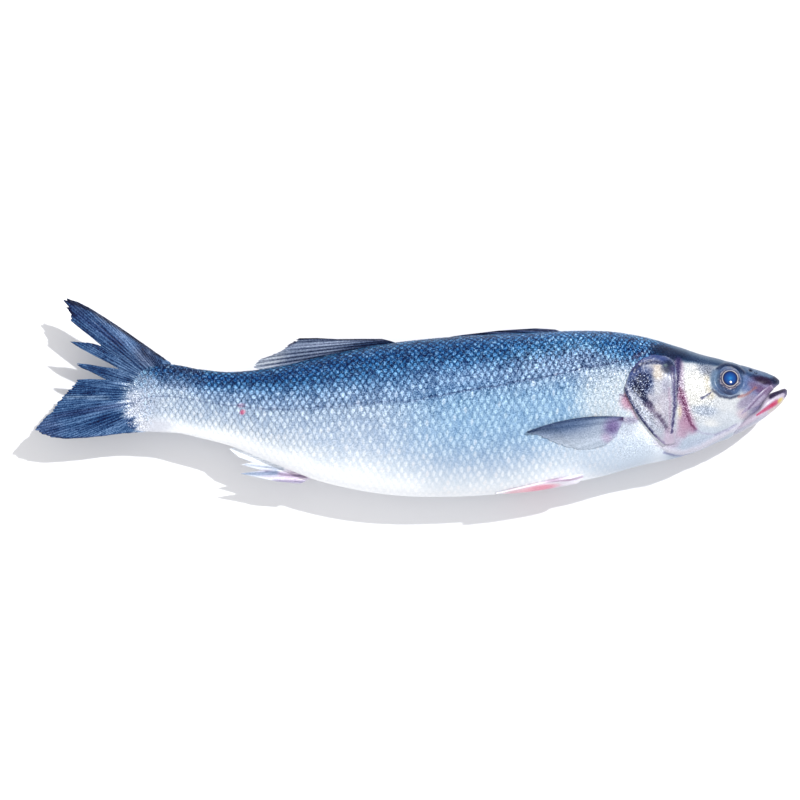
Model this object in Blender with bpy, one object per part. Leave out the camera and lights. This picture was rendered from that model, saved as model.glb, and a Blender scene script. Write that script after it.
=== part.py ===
"""A whole raw sea bass, lying on its left side with its right flank up.

X runs from the tail to the snout, Y from the belly to the back, and Z up from the table.
The origin is on the table, under the middle of the fish.
"""

import math

import bmesh
import bpy
from mathutils import Vector

# Driving dimension, in metres: from the chin to the longest ray of the tail.
FISH_LENGTH = 0.320

# The outlines below are drawn in units of which a fish is 320 long.
DRAWN_LENGTH = 320.0
UNIT = FISH_LENGTH / DRAWN_LENGTH

# The play round a piece that sits in the body, in drawn units.
SEAT_GAP = 0.35

# The body from the tail's root to the snout: x, back, belly and half width.
BODY_STATIONS = (
    (-115.6, 4.6, -5.2, 1.3),
    (-114.8, 7.2, -7.8, 1.9),
    (-113.0, 9.9, -10.8, 2.5),
    (-109.0, 12.9, -13.5, 3.2),
    (-103.0, 14.2, -14.8, 4.0),
    (-97.0, 13.4, -15.3, 4.8),
    (-89.0, 11.9, -17.2, 5.9),
    (-76.0, 10.8, -20.6, 7.5),
    (-58.0, 12.7, -28.0, 10.0),
    (-38.0, 17.2, -35.6, 12.8),
    (-13.0, 22.3, -40.8, 15.6),
    (13.0, 25.3, -42.2, 17.5),
    (47.0, 27.3, -40.0, 18.6),
    (80.0, 28.2, -33.8, 18.6),
    (98.0, 25.9, -28.8, 17.9),
    (114.6, 21.2, -25.3, 16.6),
    (123.0, 18.4, -22.4, 15.2),
    (131.0, 16.4, -18.8, 13.5),
    (136.0, 14.9, -15.4, 12.3),
    (142.2, 13.3, -9.8, 10.7),
    (147.3, 11.8, -6.0, 8.9),
    (150.2, 10.8, -1.9, 7.5),
    (152.8, 9.8, 2.3, 6.0),
    (155.2, 8.7, 4.4, 4.0),
    (156.7, 7.4, 5.7, 1.5),
)

# The lower jaw from its joint to the chin: x, upper edge, lower edge and half width.
JAW_STATIONS = (
    (136.0, -15.9, -16.9, 5.0),
    (138.2, -13.9, -15.8, 7.8),
    (142.2, -10.4, -13.6, 9.0),
    (147.3, -6.7, -10.7, 8.1),
    (150.2, -2.5, -8.8, 7.2),
    (152.8, 1.6, -6.8, 6.1),
    (156.4, 3.0, -3.8, 4.4),
    (158.8, 3.8, -0.9, 2.6),
    (160.0, 3.2, 1.2, 0.8),
)

# How high the fish's middle plane lies above the table: less than half its width, as the flank it lies
# on is pressed flat. The tail stays as high, as the fish is stiff.
LYING_HEIGHT = 17.3

# Where the flank is widest, as a share of the way from the middle up to the back.
WIDEST_LEVEL = 0.10
# Below 1, the flanks are flatter than an ellipse's.
FLANK_FULLNESS = 0.90
BODY_SEGMENTS = 36

# The tail's rays fan out from here.
TAIL_APEX = (-99.7, 1.06)
TAIL_ROOT_RADIUS = 7.0
TAIL_TIPS = (
    (-101.6, 14.9),
    (-109.1, 20.1),
    (-119.9, 27.7),
    (-128.0, 33.1),
    (-136.1, 38.2),
    (-141.5, 40.9),
    (-145.6, 42.2),
    (-147.2, 41.2),
    (-144.6, 38.2),
    (-146.4, 38.6),
    (-144.0, 35.5),
    (-144.0, 32.6),
    (-140.5, 29.6),
    (-136.1, 26.3),
    (-131.0, 22.0),
    (-135.0, 23.1),
    (-138.8, 23.6),
    (-144.5, 23.9),
    (-140.5, 21.2),
    (-132.8, 17.1),
    (-128.0, 14.7),
    (-123.7, 12.2),
    (-130.7, 13.1),
    (-136.1, 14.1),
    (-142.6, 14.7),
    (-139.4, 12.5),
    (-136.1, 11.2),
    (-129.1, 7.6),
    (-136.1, 7.9),
    (-141.5, 7.6),
    (-144.5, 3.9),
    (-146.9, 0.9),
    (-150.8, -2.6),
    (-152.9, -6.5),
    (-155.1, -8.3),
    (-158.3, -12.1),
    (-160.0, -13.5),
    (-157.8, -15.1),
    (-152.4, -17.0),
    (-146.9, -17.6),
    (-138.8, -17.3),
    (-130.7, -16.5),
    (-122.6, -15.4),
    (-114.6, -14.9),
    (-108.6, -14.6),
)

# Rays of the other fins, front to back: root x and y, tip x and y, and how far the ray bows up.
SOFT_DORSAL_RAYS = (
    (-1.0, 21.4, -12.0, 24.9, 0.3),
    (-6.0, 20.4, -21.5, 24.9, 0.5),
    (-12.0, 19.2, -30.7, 24.8, 0.7),
    (-19.0, 17.8, -39.9, 25.3, 0.9),
    (-26.0, 16.2, -47.3, 25.2, 1.0),
    (-31.0, 15.1, -50.1, 23.6, 1.0),
    (-35.0, 14.2, -53.0, 21.6, 1.0),
    (-39.0, 13.4, -54.7, 19.9, 0.9),
    (-43.5, 12.5, -58.8, 18.1, 0.8),
    (-48.5, 11.5, -63.4, 16.5, 0.6),
    (-54.0, 10.6, -65.7, 14.6, 0.4),
    (-60.0, 9.8, -66.4, 12.8, 0.2),
)
SPINY_DORSAL_RAYS = (
    (69.0, 25.6, 61.5, 28.9, 0.2),
    (62.0, 25.6, 53.0, 29.4, 0.3),
    (55.0, 25.6, 45.0, 28.9, 0.3),
    (48.0, 25.2, 37.5, 28.4, 0.3),
    (41.0, 24.8, 30.0, 27.5, 0.3),
    (34.0, 24.2, 23.0, 26.7, 0.2),
    (28.0, 23.6, 17.0, 25.8, 0.1),
)
ANAL_RAYS = (
    (-39.0, -32.6, -46.7, -36.6, -0.2),
    (-41.0, -31.9, -57.0, -35.6, -0.5),
    (-43.0, -31.1, -72.1, -32.3, -0.9),
    (-45.5, -30.2, -62.8, -31.0, -0.6),
    (-48.0, -29.3, -71.7, -28.4, -0.7),
    (-50.5, -28.3, -67.0, -27.6, -0.5),
    (-54.0, -26.9, -73.0, -25.2, -0.5),
    (-58.0, -25.2, -77.0, -21.7, -0.4),
    (-62.0, -23.4, -72.0, -20.6, -0.1),
)

# Rays of the paired fins, as the flank is seen: root, tip, bow, and the lift off the skin at the tip.
PECTORAL_RAYS = (
    (92.4, -8.4, 49.1, -14.4, 2.8, 1.5),
    (92.2, -9.2, 51.6, -15.6, 2.0, 1.7),
    (91.6, -10.1, 56.6, -17.0, 1.5, 1.8),
    (90.8, -11.1, 61.0, -18.9, 1.1, 1.9),
    (89.9, -12.2, 66.0, -20.7, 0.8, 1.9),
    (89.0, -13.3, 71.0, -21.8, 0.5, 1.8),
    (88.2, -14.6, 76.4, -21.6, 0.2, 1.7),
    (87.6, -16.0, 82.0, -20.4, 0.0, 1.4),
)

# The pelvic fins lie along the belly: root x, tip x, the angles of both round the body, and the bow.
PELVIC_RAYS = (
    (77.2, 36.0, 158.0, 167.0, -7.0),
    (76.9, 37.5, 161.0, 168.5, -5.5),
    (76.4, 41.0, 164.0, 170.0, -4.0),
    (75.8, 46.0, 167.0, 172.0, -3.0),
    (75.0, 52.0, 170.0, 173.5, -2.0),
    (74.0, 58.0, 172.0, 174.5, -1.0),
)
PELVIC_LIFT = 0.75

# The gill cover, row by row from the top: y, front edge and rear edge.
GILL_ROWS = (
    (17.4, 108.0, 101.6),
    (15.6, 110.8, 97.4),
    (13.1, 112.0, 94.8),
    (10.0, 112.4, 92.6),
    (6.6, 112.4, 91.3),
    (3.4, 112.4, 90.4),
    (0.4, 112.4, 91.6),
    (-3.8, 112.4, 93.8),
    (-7.7, 112.3, 96.2),
    (-11.6, 112.2, 99.2),
    (-15.8, 112.1, 103.0),
    (-19.4, 112.0, 107.2),
)
GILL_PROUD_FRONT = 0.15
GILL_PROUD_REAR = 1.1
GILL_THICK_FRONT = 1.3
GILL_THICK_REAR = 1.5

# The upper jaw's side plates, from the snout back to the corner of the mouth: x, y and half breadth.
MAXILLA_STATIONS = (
    (153.6, 4.6, 1.1),
    (151.0, 2.4, 1.6),
    (148.0, -0.9, 2.1),
    (145.0, -4.2, 2.5),
    (142.2, -7.0, 2.9),
    (140.4, -8.6, 2.4),
)
MAXILLA_PROUD = 0.7
MAXILLA_THICK = 1.6

EYE_X = 135.0
EYE_Y = 7.5
EYE_RADIUS = 7.3
# Half the eyeball's depth: it is flatter than it is wide.
EYE_DEPTH = 4.5
# How far the eyeball's front stands out of the head's side.
EYE_PROUD = 1.5


def curve_at(knots, x, column=1):
    """The value at x of a smooth curve through the knots, which are in order of x."""
    last = len(knots) - 1
    if x <= knots[0][0]:
        return knots[0][column]
    if x >= knots[last][0]:
        return knots[last][column]
    i = next(k for k in range(last) if x <= knots[k + 1][0])

    def slope(k):
        before, after = knots[max(k - 1, 0)], knots[min(k + 1, last)]
        return (after[column] - before[column]) / (after[0] - before[0])

    start, end = knots[i], knots[i + 1]
    span = end[0] - start[0]
    t = (x - start[0]) / span
    return (
        (1 + 2 * t) * (1 - t) ** 2 * start[column]
        + t * (1 - t) ** 2 * span * slope(i)
        + t * t * (3 - 2 * t) * end[column]
        + t * t * (t - 1) * span * slope(i + 1)
    )


def section(x, stations):
    """The level where the body is widest at x, its reach up and down from there, and its half width."""
    upper, lower = curve_at(stations, x, 1), curve_at(stations, x, 2)
    half = (upper - lower) / 2
    level = (upper + lower) / 2 + WIDEST_LEVEL * half
    return level, upper - level, level - lower, curve_at(stations, x, 3)


def skin_point(x, angle, lift=0.0, stations=BODY_STATIONS):
    """A point on the skin, before the fish is laid down.

    The angle is in radians round the body: 0 at the back, pi at the belly, and the right side between.
    Lift moves the point out of the skin, square to the section.
    """
    level, up, down, half_width = section(x, stations)
    reach = up if math.cos(angle) > 0 else down
    side = math.copysign(abs(math.sin(angle)) ** FLANK_FULLNESS, math.sin(angle))
    y = level + reach * math.cos(angle)
    z = half_width * side
    out = Vector((0.0, math.cos(angle) * half_width, math.sin(angle) * reach)).normalized()
    return Vector((x, y, z)) + out * lift


def flank_angle(x, y):
    """The angle round the body, on its right side, where the flank's outline has height y."""
    level, up, down, _ = section(x, BODY_STATIONS)
    reach = up if y > level else down
    return math.acos(max(-0.995, min(0.995, (y - level) / reach)))


def laid(point):
    """The drawn point on the fish as it lies on the table, in metres."""
    return Vector((point.x, point.y, max(0.0, point.z + LYING_HEIGHT))) * UNIT


def laid_plate(outer, inner):
    """Two facing points of a plate, laid down: one that would reach into the table is pushed up whole."""
    lowest = min(outer.z, inner.z) + LYING_HEIGHT
    push = Vector((0.0, 0.0, max(0.0, -lowest)))
    return laid(outer + push), laid(inner + push)


def material(name, colour, roughness):
    """A plain finish in the part's colour."""
    made = bpy.data.materials.new(name)
    made.use_nodes = True
    shader = made.node_tree.nodes["Principled BSDF"]
    shader.inputs["Base Color"].default_value = (*colour, 1.0)
    shader.inputs["Roughness"].default_value = roughness
    shader.inputs["Metallic"].default_value = 0.0
    return made


def add_mesh(name, bm, finish, collection):
    """Makes a named object of the finished shape."""
    mesh = bpy.data.meshes.new(name)
    bm.to_mesh(mesh)
    bm.free()
    mesh.shade_smooth()
    mesh.materials.append(finish)
    made = bpy.data.objects.new(name, mesh)
    collection.objects.link(made)
    return made


def loft(name, rings, finish, collection):
    """A closed solid skinned over rings of points, each ring the same way round, with flat ends."""
    bm = bmesh.new()
    loops = [[bm.verts.new(point) for point in ring] for ring in rings]
    count = len(loops[0])
    for first, second in zip(loops, loops[1:]):
        for i in range(count):
            j = (i + 1) % count
            bm.faces.new((first[i], first[j], second[j], second[i]))
    bm.faces.new(loops[0])
    bm.faces.new(loops[-1])
    bmesh.ops.recalc_face_normals(bm, faces=bm.faces)
    bmesh.ops.triangulate(bm, faces=[face for face in bm.faces if len(face.verts) > 4])
    return add_mesh(name, bm, finish, collection)


def spaced(start, end, count):
    """Evenly spaced numbers from start to end."""
    return [start + (end - start) * i / (count - 1) for i in range(count)]


def body_rings(stations, segments, places):
    """The rings of points round the body at each of the places along it."""
    angles = [2 * math.pi * i / segments for i in range(segments)]
    return [[laid(skin_point(x, angle, 0.0, stations)) for angle in angles] for x in places]


def thin_ring(faces):
    """One ring of a plate or fin: out along its upper points and back along its lower ones."""
    return [pair[0] for pair in faces] + [pair[1] for pair in reversed(faces)]


def upright_fin(rays, root_half, tip_half, shares):
    """The rings of a fin in the fish's middle plane, one ring for each ray."""
    rings = []
    for root_x, root_y, tip_x, tip_y, bow in rays:
        faces = []
        for share in shares:
            x = root_x + (tip_x - root_x) * share
            y = root_y + (tip_y - root_y) * share + bow * 4 * share * (1 - share)
            half = root_half + (tip_half - root_half) * share
            upper, lower = Vector((x, y, half)), Vector((x, y, -half))
            faces.append(laid_plate(upper, lower))
        rings.append(thin_ring(faces))
    return rings


def tail_rays():
    """The tail's rays, each from the root circle out to its tip."""
    rays = []
    apex = Vector(TAIL_APEX)
    for tip in TAIL_TIPS:
        way = (Vector(tip) - apex).normalized()
        root = apex + way * TAIL_ROOT_RADIUS
        rays.append((root.x, root.y, tip[0], tip[1], 0.0))
    return rays


def pectoral_rings(side):
    """The rings of a pectoral fin, folded back along the flank. Side is 1 on the right and -1 on the left."""
    root_half, tip_half, root_sink = 0.9, 0.45, 1.2
    rings = []
    for root_x, root_y, tip_x, tip_y, bow, lift in PECTORAL_RAYS:
        faces = []
        for share in (0.0, 0.08, 0.2, 0.4, 0.6, 0.8, 1.0):
            x = root_x + (tip_x - root_x) * share
            y = root_y + (tip_y - root_y) * share + bow * 4 * share * (1 - share)
            half = root_half + (tip_half - root_half) * share
            middle = -root_sink + (lift + root_sink) * min(1.0, share / 0.2)
            angle = side * flank_angle(x, y)
            outer, inner = skin_point(x, angle, middle + half), skin_point(x, angle, middle - half)
            faces.append(laid_plate(outer, inner))
        rings.append(thin_ring(faces))
    return rings


def pelvic_rings(side):
    """The rings of a pelvic fin, folded back along the belly."""
    root_half, tip_half, root_sink = 0.9, 0.4, 1.3
    rings = []
    for root_x, tip_x, root_angle, tip_angle, bow in PELVIC_RAYS:
        faces = []
        for share in (0.0, 0.1, 0.25, 0.5, 0.75, 1.0):
            x = root_x + (tip_x - root_x) * share
            turned = root_angle + (tip_angle - root_angle) * share + bow * 4 * share * (1 - share)
            angle = side * math.radians(turned)
            half = root_half + (tip_half - root_half) * share
            middle = -root_sink + (PELVIC_LIFT + root_sink) * min(1.0, share / 0.25)
            outer, inner = skin_point(x, angle, middle + half), skin_point(x, angle, middle - half)
            faces.append(laid_plate(outer, inner))
        rings.append(thin_ring(faces))
    return rings


def gill_cover_rings(side):
    """The rings of a gill cover, one for each row from the top down."""
    rings = []
    for y, front, rear in GILL_ROWS:
        faces = []
        for share in (0.0, 0.12, 0.3, 0.5, 0.7, 0.88, 1.0):
            x = front + (rear - front) * share
            proud = GILL_PROUD_FRONT + (GILL_PROUD_REAR - GILL_PROUD_FRONT) * share
            thick = GILL_THICK_FRONT + (GILL_THICK_REAR - GILL_THICK_FRONT) * share
            angle = side * flank_angle(x, y)
            outer, inner = skin_point(x, angle, proud), skin_point(x, angle, proud - thick)
            faces.append(laid_plate(outer, inner))
        rings.append(thin_ring(faces))
    return rings


def maxilla_rings(side):
    """The rings of an upper jaw's side plate, one for each station from the snout back."""
    rings = []
    for i, (x, y, half_breadth) in enumerate(MAXILLA_STATIONS):
        before = MAXILLA_STATIONS[max(i - 1, 0)]
        after = MAXILLA_STATIONS[min(i + 1, len(MAXILLA_STATIONS) - 1)]
        along = Vector((after[0] - before[0], after[1] - before[1])).normalized()
        across = Vector((-along.y, along.x))
        faces = []
        for share in (-1.0, -0.5, 0.0, 0.5, 1.0):
            place = Vector((x, y)) + across * half_breadth * share
            angle = side * flank_angle(place.x, place.y)
            proud = MAXILLA_PROUD * (1 - 0.5 * abs(share))
            outer = skin_point(place.x, angle, proud)
            inner = skin_point(place.x, angle, proud - MAXILLA_THICK)
            faces.append(laid_plate(outer, inner))
        rings.append(thin_ring(faces))
    return rings


def eyeball(name, side, finish, collection):
    """An eyeball, sunk in the head so that its front stands a little proud."""
    angle = side * flank_angle(EYE_X, EYE_Y)
    along = skin_point(EYE_X + 1.0, angle) - skin_point(EYE_X - 1.0, angle)
    around = skin_point(EYE_X, angle + side * 0.05) - skin_point(EYE_X, angle - side * 0.05)
    outward = around.cross(along).normalized() * side
    centre = skin_point(EYE_X, angle) + outward * (EYE_PROUD - EYE_DEPTH)
    facing = Vector((0.0, 0.0, 1.0)).rotation_difference(outward).to_matrix()
    bm = bmesh.new()
    bmesh.ops.create_uvsphere(bm, u_segments=22, v_segments=12, radius=EYE_RADIUS * UNIT)
    bmesh.ops.scale(bm, vec=(1.0, 1.0, EYE_DEPTH / EYE_RADIUS), verts=bm.verts)
    bmesh.ops.rotate(bm, matrix=facing, verts=bm.verts)
    bmesh.ops.translate(bm, vec=laid(centre), verts=bm.verts)
    return add_mesh(name, bm, finish, collection)


def seat(body, piece, cutters):
    """Cuts the piece's seat out of the body, with an even play all round it."""
    cutter = bpy.data.objects.new(piece.name + "_seat", piece.data.copy())
    cutter.matrix_world = piece.matrix_world.copy()
    cutters.objects.link(cutter)
    bm = bmesh.new()
    bm.from_mesh(cutter.data)
    bm.normal_update()
    moves = [
        vertex.normal * min(vertex.calc_shell_factor(), 2.0) * SEAT_GAP * UNIT for vertex in bm.verts
    ]
    for vertex, move in zip(bm.verts, moves):
        vertex.co += move
    bm.to_mesh(cutter.data)
    bm.free()
    cutter.hide_render = True
    cutter.display_type = "WIRE"
    cut = body.modifiers.new(piece.name, "BOOLEAN")
    cut.operation = "DIFFERENCE"
    cut.solver = "EXACT"
    cut.object = cutter


def main():
    """Builds the whole fish."""
    for old in list(bpy.data.objects):
        bpy.data.objects.remove(old)
    fish = bpy.data.collections.new("sea_bass")
    cutters = bpy.data.collections.new("seats")
    for collection in (fish, cutters):
        bpy.context.scene.collection.children.link(collection)

    skin = material("skin", (0.42, 0.55, 0.70), 0.35)
    gill_skin = material("gill_cover", (0.72, 0.72, 0.72), 0.30)
    jaw_skin = material("jaw", (0.70, 0.62, 0.70), 0.40)
    fin_skin = material("fin", (0.16, 0.22, 0.36), 0.45)
    pale_fin = material("pale_fin", (0.68, 0.62, 0.70), 0.45)
    eye_skin = material("eye", (0.02, 0.12, 0.35), 0.10)

    trunk_places = spaced(BODY_STATIONS[0][0], 96.0, 38)
    head_places = spaced(98.5, 153.0, 22) + [154.6, 155.9, BODY_STATIONS[-1][0]]
    body = loft(
        "body", body_rings(BODY_STATIONS, BODY_SEGMENTS, trunk_places + head_places), skin, fish
    )
    jaw_places = spaced(JAW_STATIONS[0][0], 157.0, 12) + [158.2, 159.2, JAW_STATIONS[-1][0]]
    jaw = loft("lower_jaw", body_rings(JAW_STATIONS, 24, jaw_places), jaw_skin, fish)

    long_shares = (0.0, 0.2, 0.45, 0.75, 1.0)
    short_shares = (0.0, 0.25, 0.5, 0.75, 1.0)
    seated = [
        jaw,
        loft("tail_fin", upright_fin(tail_rays(), 1.15, 0.4, long_shares), fin_skin, fish),
        loft("soft_dorsal_fin", upright_fin(SOFT_DORSAL_RAYS, 1.0, 0.35, short_shares), fin_skin, fish),
        loft("spiny_dorsal_fin", upright_fin(SPINY_DORSAL_RAYS, 1.1, 0.5, short_shares), fin_skin, fish),
        loft("anal_fin", upright_fin(ANAL_RAYS, 1.0, 0.35, short_shares), pale_fin, fish),
    ]
    for word, side in (("right", 1), ("left", -1)):
        seated += [
            loft("gill_cover_" + word, gill_cover_rings(side), gill_skin, fish),
            loft("maxilla_" + word, maxilla_rings(side), jaw_skin, fish),
            loft("pectoral_fin_" + word, pectoral_rings(side), fin_skin, fish),
            loft("pelvic_fin_" + word, pelvic_rings(side), pale_fin, fish),
            eyeball("eye_" + word, side, eye_skin, fish),
        ]
    for piece in seated:
        seat(body, piece, cutters)


main()
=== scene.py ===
"""The looks of a whole raw sea bass that lies on its left side, with its right flank up.

Shapes are drawn in units of which the fish is 320 long, with X from the tail to the snout, Y from the
belly to the back and Z out of the right flank. They are laid on the table last, in metres.
"""

import logging
import math
from dataclasses import dataclass
from enum import Enum
from typing import Sequence

import bmesh
import bpy
import numpy as np
from mathutils import Euler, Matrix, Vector, noise


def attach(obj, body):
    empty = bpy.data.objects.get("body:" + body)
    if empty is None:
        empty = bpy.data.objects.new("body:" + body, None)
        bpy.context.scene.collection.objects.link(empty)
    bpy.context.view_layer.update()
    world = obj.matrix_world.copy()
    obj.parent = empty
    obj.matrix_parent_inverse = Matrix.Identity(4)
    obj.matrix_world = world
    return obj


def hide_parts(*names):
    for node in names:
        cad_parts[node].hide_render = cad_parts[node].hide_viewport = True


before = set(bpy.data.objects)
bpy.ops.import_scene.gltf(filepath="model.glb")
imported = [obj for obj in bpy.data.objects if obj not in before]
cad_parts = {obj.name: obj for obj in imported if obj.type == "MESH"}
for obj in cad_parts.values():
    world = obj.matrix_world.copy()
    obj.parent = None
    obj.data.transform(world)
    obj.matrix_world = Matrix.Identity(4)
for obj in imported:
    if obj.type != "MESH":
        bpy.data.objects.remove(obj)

LOG = logging.getLogger("sea_bass")
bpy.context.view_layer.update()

# A drawn unit in metres, and how high the middle plane of the fish lies over the table.
UNIT = 0.320 / 320.0
LYING_HEIGHT = 17.3

# A section is widest a little above its middle, and its flanks are a little fuller than an oval.
WIDEST_LEVEL = 0.10
FLANK_FULLNESS = 0.90

# Paint is given as it looks on a level surface under the studio's light, which is this much above 1.
# No paint is whiter than wet skin can be.
PAINT_LIGHT = 1.70
MOST_WHITE = 0.93

Rgb = tuple[float, float, float]
Table = Sequence[Sequence[float]]

# The body from the tail's root to the snout: x, back, belly and half width.
BODY_STATIONS: Table = (
    (-115.6, 4.6, -5.2, 1.3),
    (-114.8, 7.2, -7.8, 1.9),
    (-113.0, 9.9, -10.8, 2.5),
    (-109.0, 12.9, -13.5, 3.2),
    (-103.0, 14.2, -14.8, 4.0),
    (-97.0, 13.4, -15.3, 4.8),
    (-89.0, 11.9, -17.2, 5.9),
    (-76.0, 10.8, -20.6, 7.5),
    (-58.0, 12.7, -28.0, 10.0),
    (-38.0, 17.2, -35.6, 12.8),
    (-13.0, 22.3, -40.8, 15.6),
    (13.0, 25.3, -42.2, 17.5),
    (47.0, 27.3, -40.0, 18.6),
    (80.0, 28.2, -33.8, 18.6),
    (98.0, 25.9, -28.8, 17.9),
    (114.6, 21.2, -25.3, 16.6),
    (123.0, 18.4, -22.4, 15.2),
    (131.0, 16.4, -18.8, 13.5),
    (136.0, 14.9, -15.4, 12.3),
    (142.2, 13.3, -9.8, 10.7),
    (147.3, 11.8, -6.0, 8.9),
    (150.2, 10.8, -1.9, 7.5),
    (152.8, 9.8, 2.3, 6.0),
    (155.2, 8.7, 4.4, 4.0),
    (156.7, 7.4, 5.7, 1.5),
)

# The lower jaw from inside the head to the chin: x, upper edge, lower edge and half width. Its upper edge
# is taken a little up into the head, so that no gap shows.
JAW_STATIONS: Table = (
    (130.0, -14.6, -16.4, 1.5),
    (134.0, -13.6, -16.2, 3.6),
    (138.2, -11.7, -15.8, 5.6),
    (142.2, -8.0, -13.6, 7.4),
    (147.3, -4.5, -10.7, 8.1),
    (150.2, -0.3, -8.8, 7.2),
    (152.8, 1.6, -6.8, 6.1),
    (156.4, 3.0, -3.8, 4.4),
    (158.8, 3.8, -0.9, 2.6),
    (160.0, 3.2, 1.2, 0.8),
)

# The scaly sheath that thins out over the root of the tail, in place of the body's blunt end.
SHEATH_STATIONS: Table = (
    (-123.0, -1.5, -8.0, 0.40),
    (-121.5, 2.0, -11.0, 0.70),
    (-118.5, 6.5, -13.4, 1.10),
    (-115.0, 10.5, -14.2, 1.75),
    (-112.0, 12.6, -14.5, 2.45),
    (-109.0, 13.6, -14.6, 3.1),
)

# The lateral line: x, and its share of the way from the back down to the belly.
LATERAL_LINE: Table = (
    (-110.0, 0.47),
    (-65.4, 0.443),
    (-40.7, 0.406),
    (-16.6, 0.388),
    (7.6, 0.373),
    (20.4, 0.346),
    (45.0, 0.308),
    (61.1, 0.279),
    (77.2, 0.242),
    (94.2, 0.187),
)

# The tail's rays fan out from its apex, start this far from it, and end on this torn outline.
TAIL_APEX = (-99.7, 1.06)
TAIL_ROOT_RADIUS = 7.0
TAIL_TIPS: Table = (
    (-101.6, 14.9),
    (-109.1, 20.1),
    (-119.9, 27.7),
    (-128.0, 33.1),
    (-136.1, 38.2),
    (-141.5, 40.9),
    (-145.6, 42.2),
    (-147.2, 41.2),
    (-144.6, 38.2),
    (-146.4, 38.6),
    (-144.0, 35.5),
    (-144.0, 32.6),
    (-140.5, 29.6),
    (-136.1, 26.3),
    (-131.0, 22.0),
    (-135.0, 23.1),
    (-138.8, 23.6),
    (-144.5, 23.9),
    (-140.5, 21.2),
    (-132.8, 17.1),
    (-128.0, 14.7),
    (-123.7, 12.2),
    (-130.7, 13.1),
    (-136.1, 14.1),
    (-142.6, 14.7),
    (-139.4, 12.5),
    (-136.1, 11.2),
    (-129.1, 7.6),
    (-136.1, 7.9),
    (-141.5, 7.6),
    (-144.5, 3.9),
    (-146.9, 0.9),
    (-150.8, -2.6),
    (-152.9, -6.5),
    (-155.1, -8.3),
    (-158.3, -12.1),
    (-160.0, -13.5),
    (-157.8, -15.1),
    (-152.4, -17.0),
    (-146.9, -17.6),
    (-138.8, -17.3),
    (-130.7, -16.5),
    (-122.6, -15.4),
    (-114.6, -14.9),
    (-108.6, -14.6),
)

# Rays of the fins in the middle plane: root x and y, tip x and y, and how far the ray bows up.
SOFT_DORSAL_RAYS: Table = (
    (-1.0, 21.4, -12.0, 24.9, 0.3),
    (-6.0, 20.4, -21.5, 24.9, 0.5),
    (-12.0, 19.2, -30.7, 24.8, 0.7),
    (-19.0, 17.8, -39.9, 25.3, 0.9),
    (-26.0, 16.2, -47.3, 25.2, 1.0),
    (-31.0, 15.1, -50.1, 23.6, 1.0),
    (-35.0, 14.2, -53.0, 21.6, 1.0),
    (-39.0, 13.4, -54.7, 19.9, 0.9),
    (-43.5, 12.5, -58.8, 18.1, 0.8),
    (-48.5, 11.5, -63.4, 16.5, 0.6),
    (-54.0, 10.6, -65.7, 14.6, 0.4),
    (-60.0, 9.8, -66.4, 12.8, 0.2),
)
SPINY_DORSAL_RAYS: Table = (
    (69.0, 25.6, 61.5, 28.9, 0.2),
    (62.0, 25.6, 53.0, 29.4, 0.3),
    (55.0, 25.6, 45.0, 28.9, 0.3),
    (48.0, 25.2, 37.5, 28.4, 0.3),
    (41.0, 24.8, 30.0, 27.5, 0.3),
    (34.0, 24.2, 23.0, 26.7, 0.2),
    (28.0, 23.6, 17.0, 25.8, 0.1),
)
ANAL_RAYS: Table = (
    (-39.0, -32.6, -46.7, -36.6, -0.2),
    (-41.0, -31.9, -57.0, -35.6, -0.5),
    (-43.0, -31.1, -72.1, -32.3, -0.9),
    (-45.5, -30.2, -62.8, -31.0, -0.6),
    (-48.0, -29.3, -71.7, -28.4, -0.7),
    (-50.5, -28.3, -67.0, -27.6, -0.5),
    (-54.0, -26.9, -73.0, -25.2, -0.5),
    (-58.0, -25.2, -77.0, -21.7, -0.4),
    (-62.0, -23.4, -72.0, -20.6, -0.1),
)

# Rays of the paired fins: root, tip, bow, and the lift off the skin at the tip.
PECTORAL_RAYS: Table = (
    (92.4, -8.4, 49.1, -14.4, 2.8, 1.5),
    (92.2, -9.2, 51.6, -15.6, 2.0, 1.7),
    (91.6, -10.1, 56.6, -17.0, 1.5, 1.8),
    (90.8, -11.1, 61.0, -18.9, 1.1, 1.9),
    (89.9, -12.2, 66.0, -20.7, 0.8, 1.9),
    (89.0, -13.3, 71.0, -21.8, 0.5, 1.8),
    (88.2, -14.6, 76.4, -21.6, 0.2, 1.7),
    (87.6, -16.0, 82.0, -20.4, 0.0, 1.4),
)
# Rays of the fins under the belly: root x, tip x, the angles of both round the body, and the bow.
PELVIC_RAYS: Table = (
    (77.2, 36.0, 158.0, 167.0, -7.0),
    (76.9, 37.5, 161.0, 168.5, -5.5),
    (76.4, 41.0, 164.0, 170.0, -4.0),
    (75.8, 46.0, 167.0, 172.0, -3.0),
    (75.0, 52.0, 170.0, 173.5, -2.0),
    (74.0, 58.0, 172.0, 174.5, -1.0),
)

# How far out of the belly the tips of these fins lie.
PELVIC_LIFT = 0.75

# The gill cover, row by row from the top: y, front edge and rear edge.
GILL_ROWS: Table = (
    (17.4, 108.0, 101.6),
    (15.6, 110.8, 97.4),
    (13.1, 112.0, 94.8),
    (10.0, 112.4, 92.6),
    (6.6, 112.4, 91.3),
    (3.4, 112.4, 90.4),
    (0.4, 112.4, 91.6),
    (-3.8, 112.4, 93.8),
    (-7.7, 112.3, 96.2),
    (-11.6, 112.2, 99.2),
    (-15.8, 112.1, 103.0),
    (-19.4, 112.0, 107.2),
)

# The upper jaw's side plates, from the snout back: x, y and half breadth.
MAXILLA_STATIONS: Table = (
    (153.6, 4.6, 1.1),
    (151.0, 2.4, 1.6),
    (148.0, -0.9, 2.1),
    (145.0, -4.2, 2.5),
    (142.2, -7.0, 2.9),
    (140.4, -8.6, 2.4),
)


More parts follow.
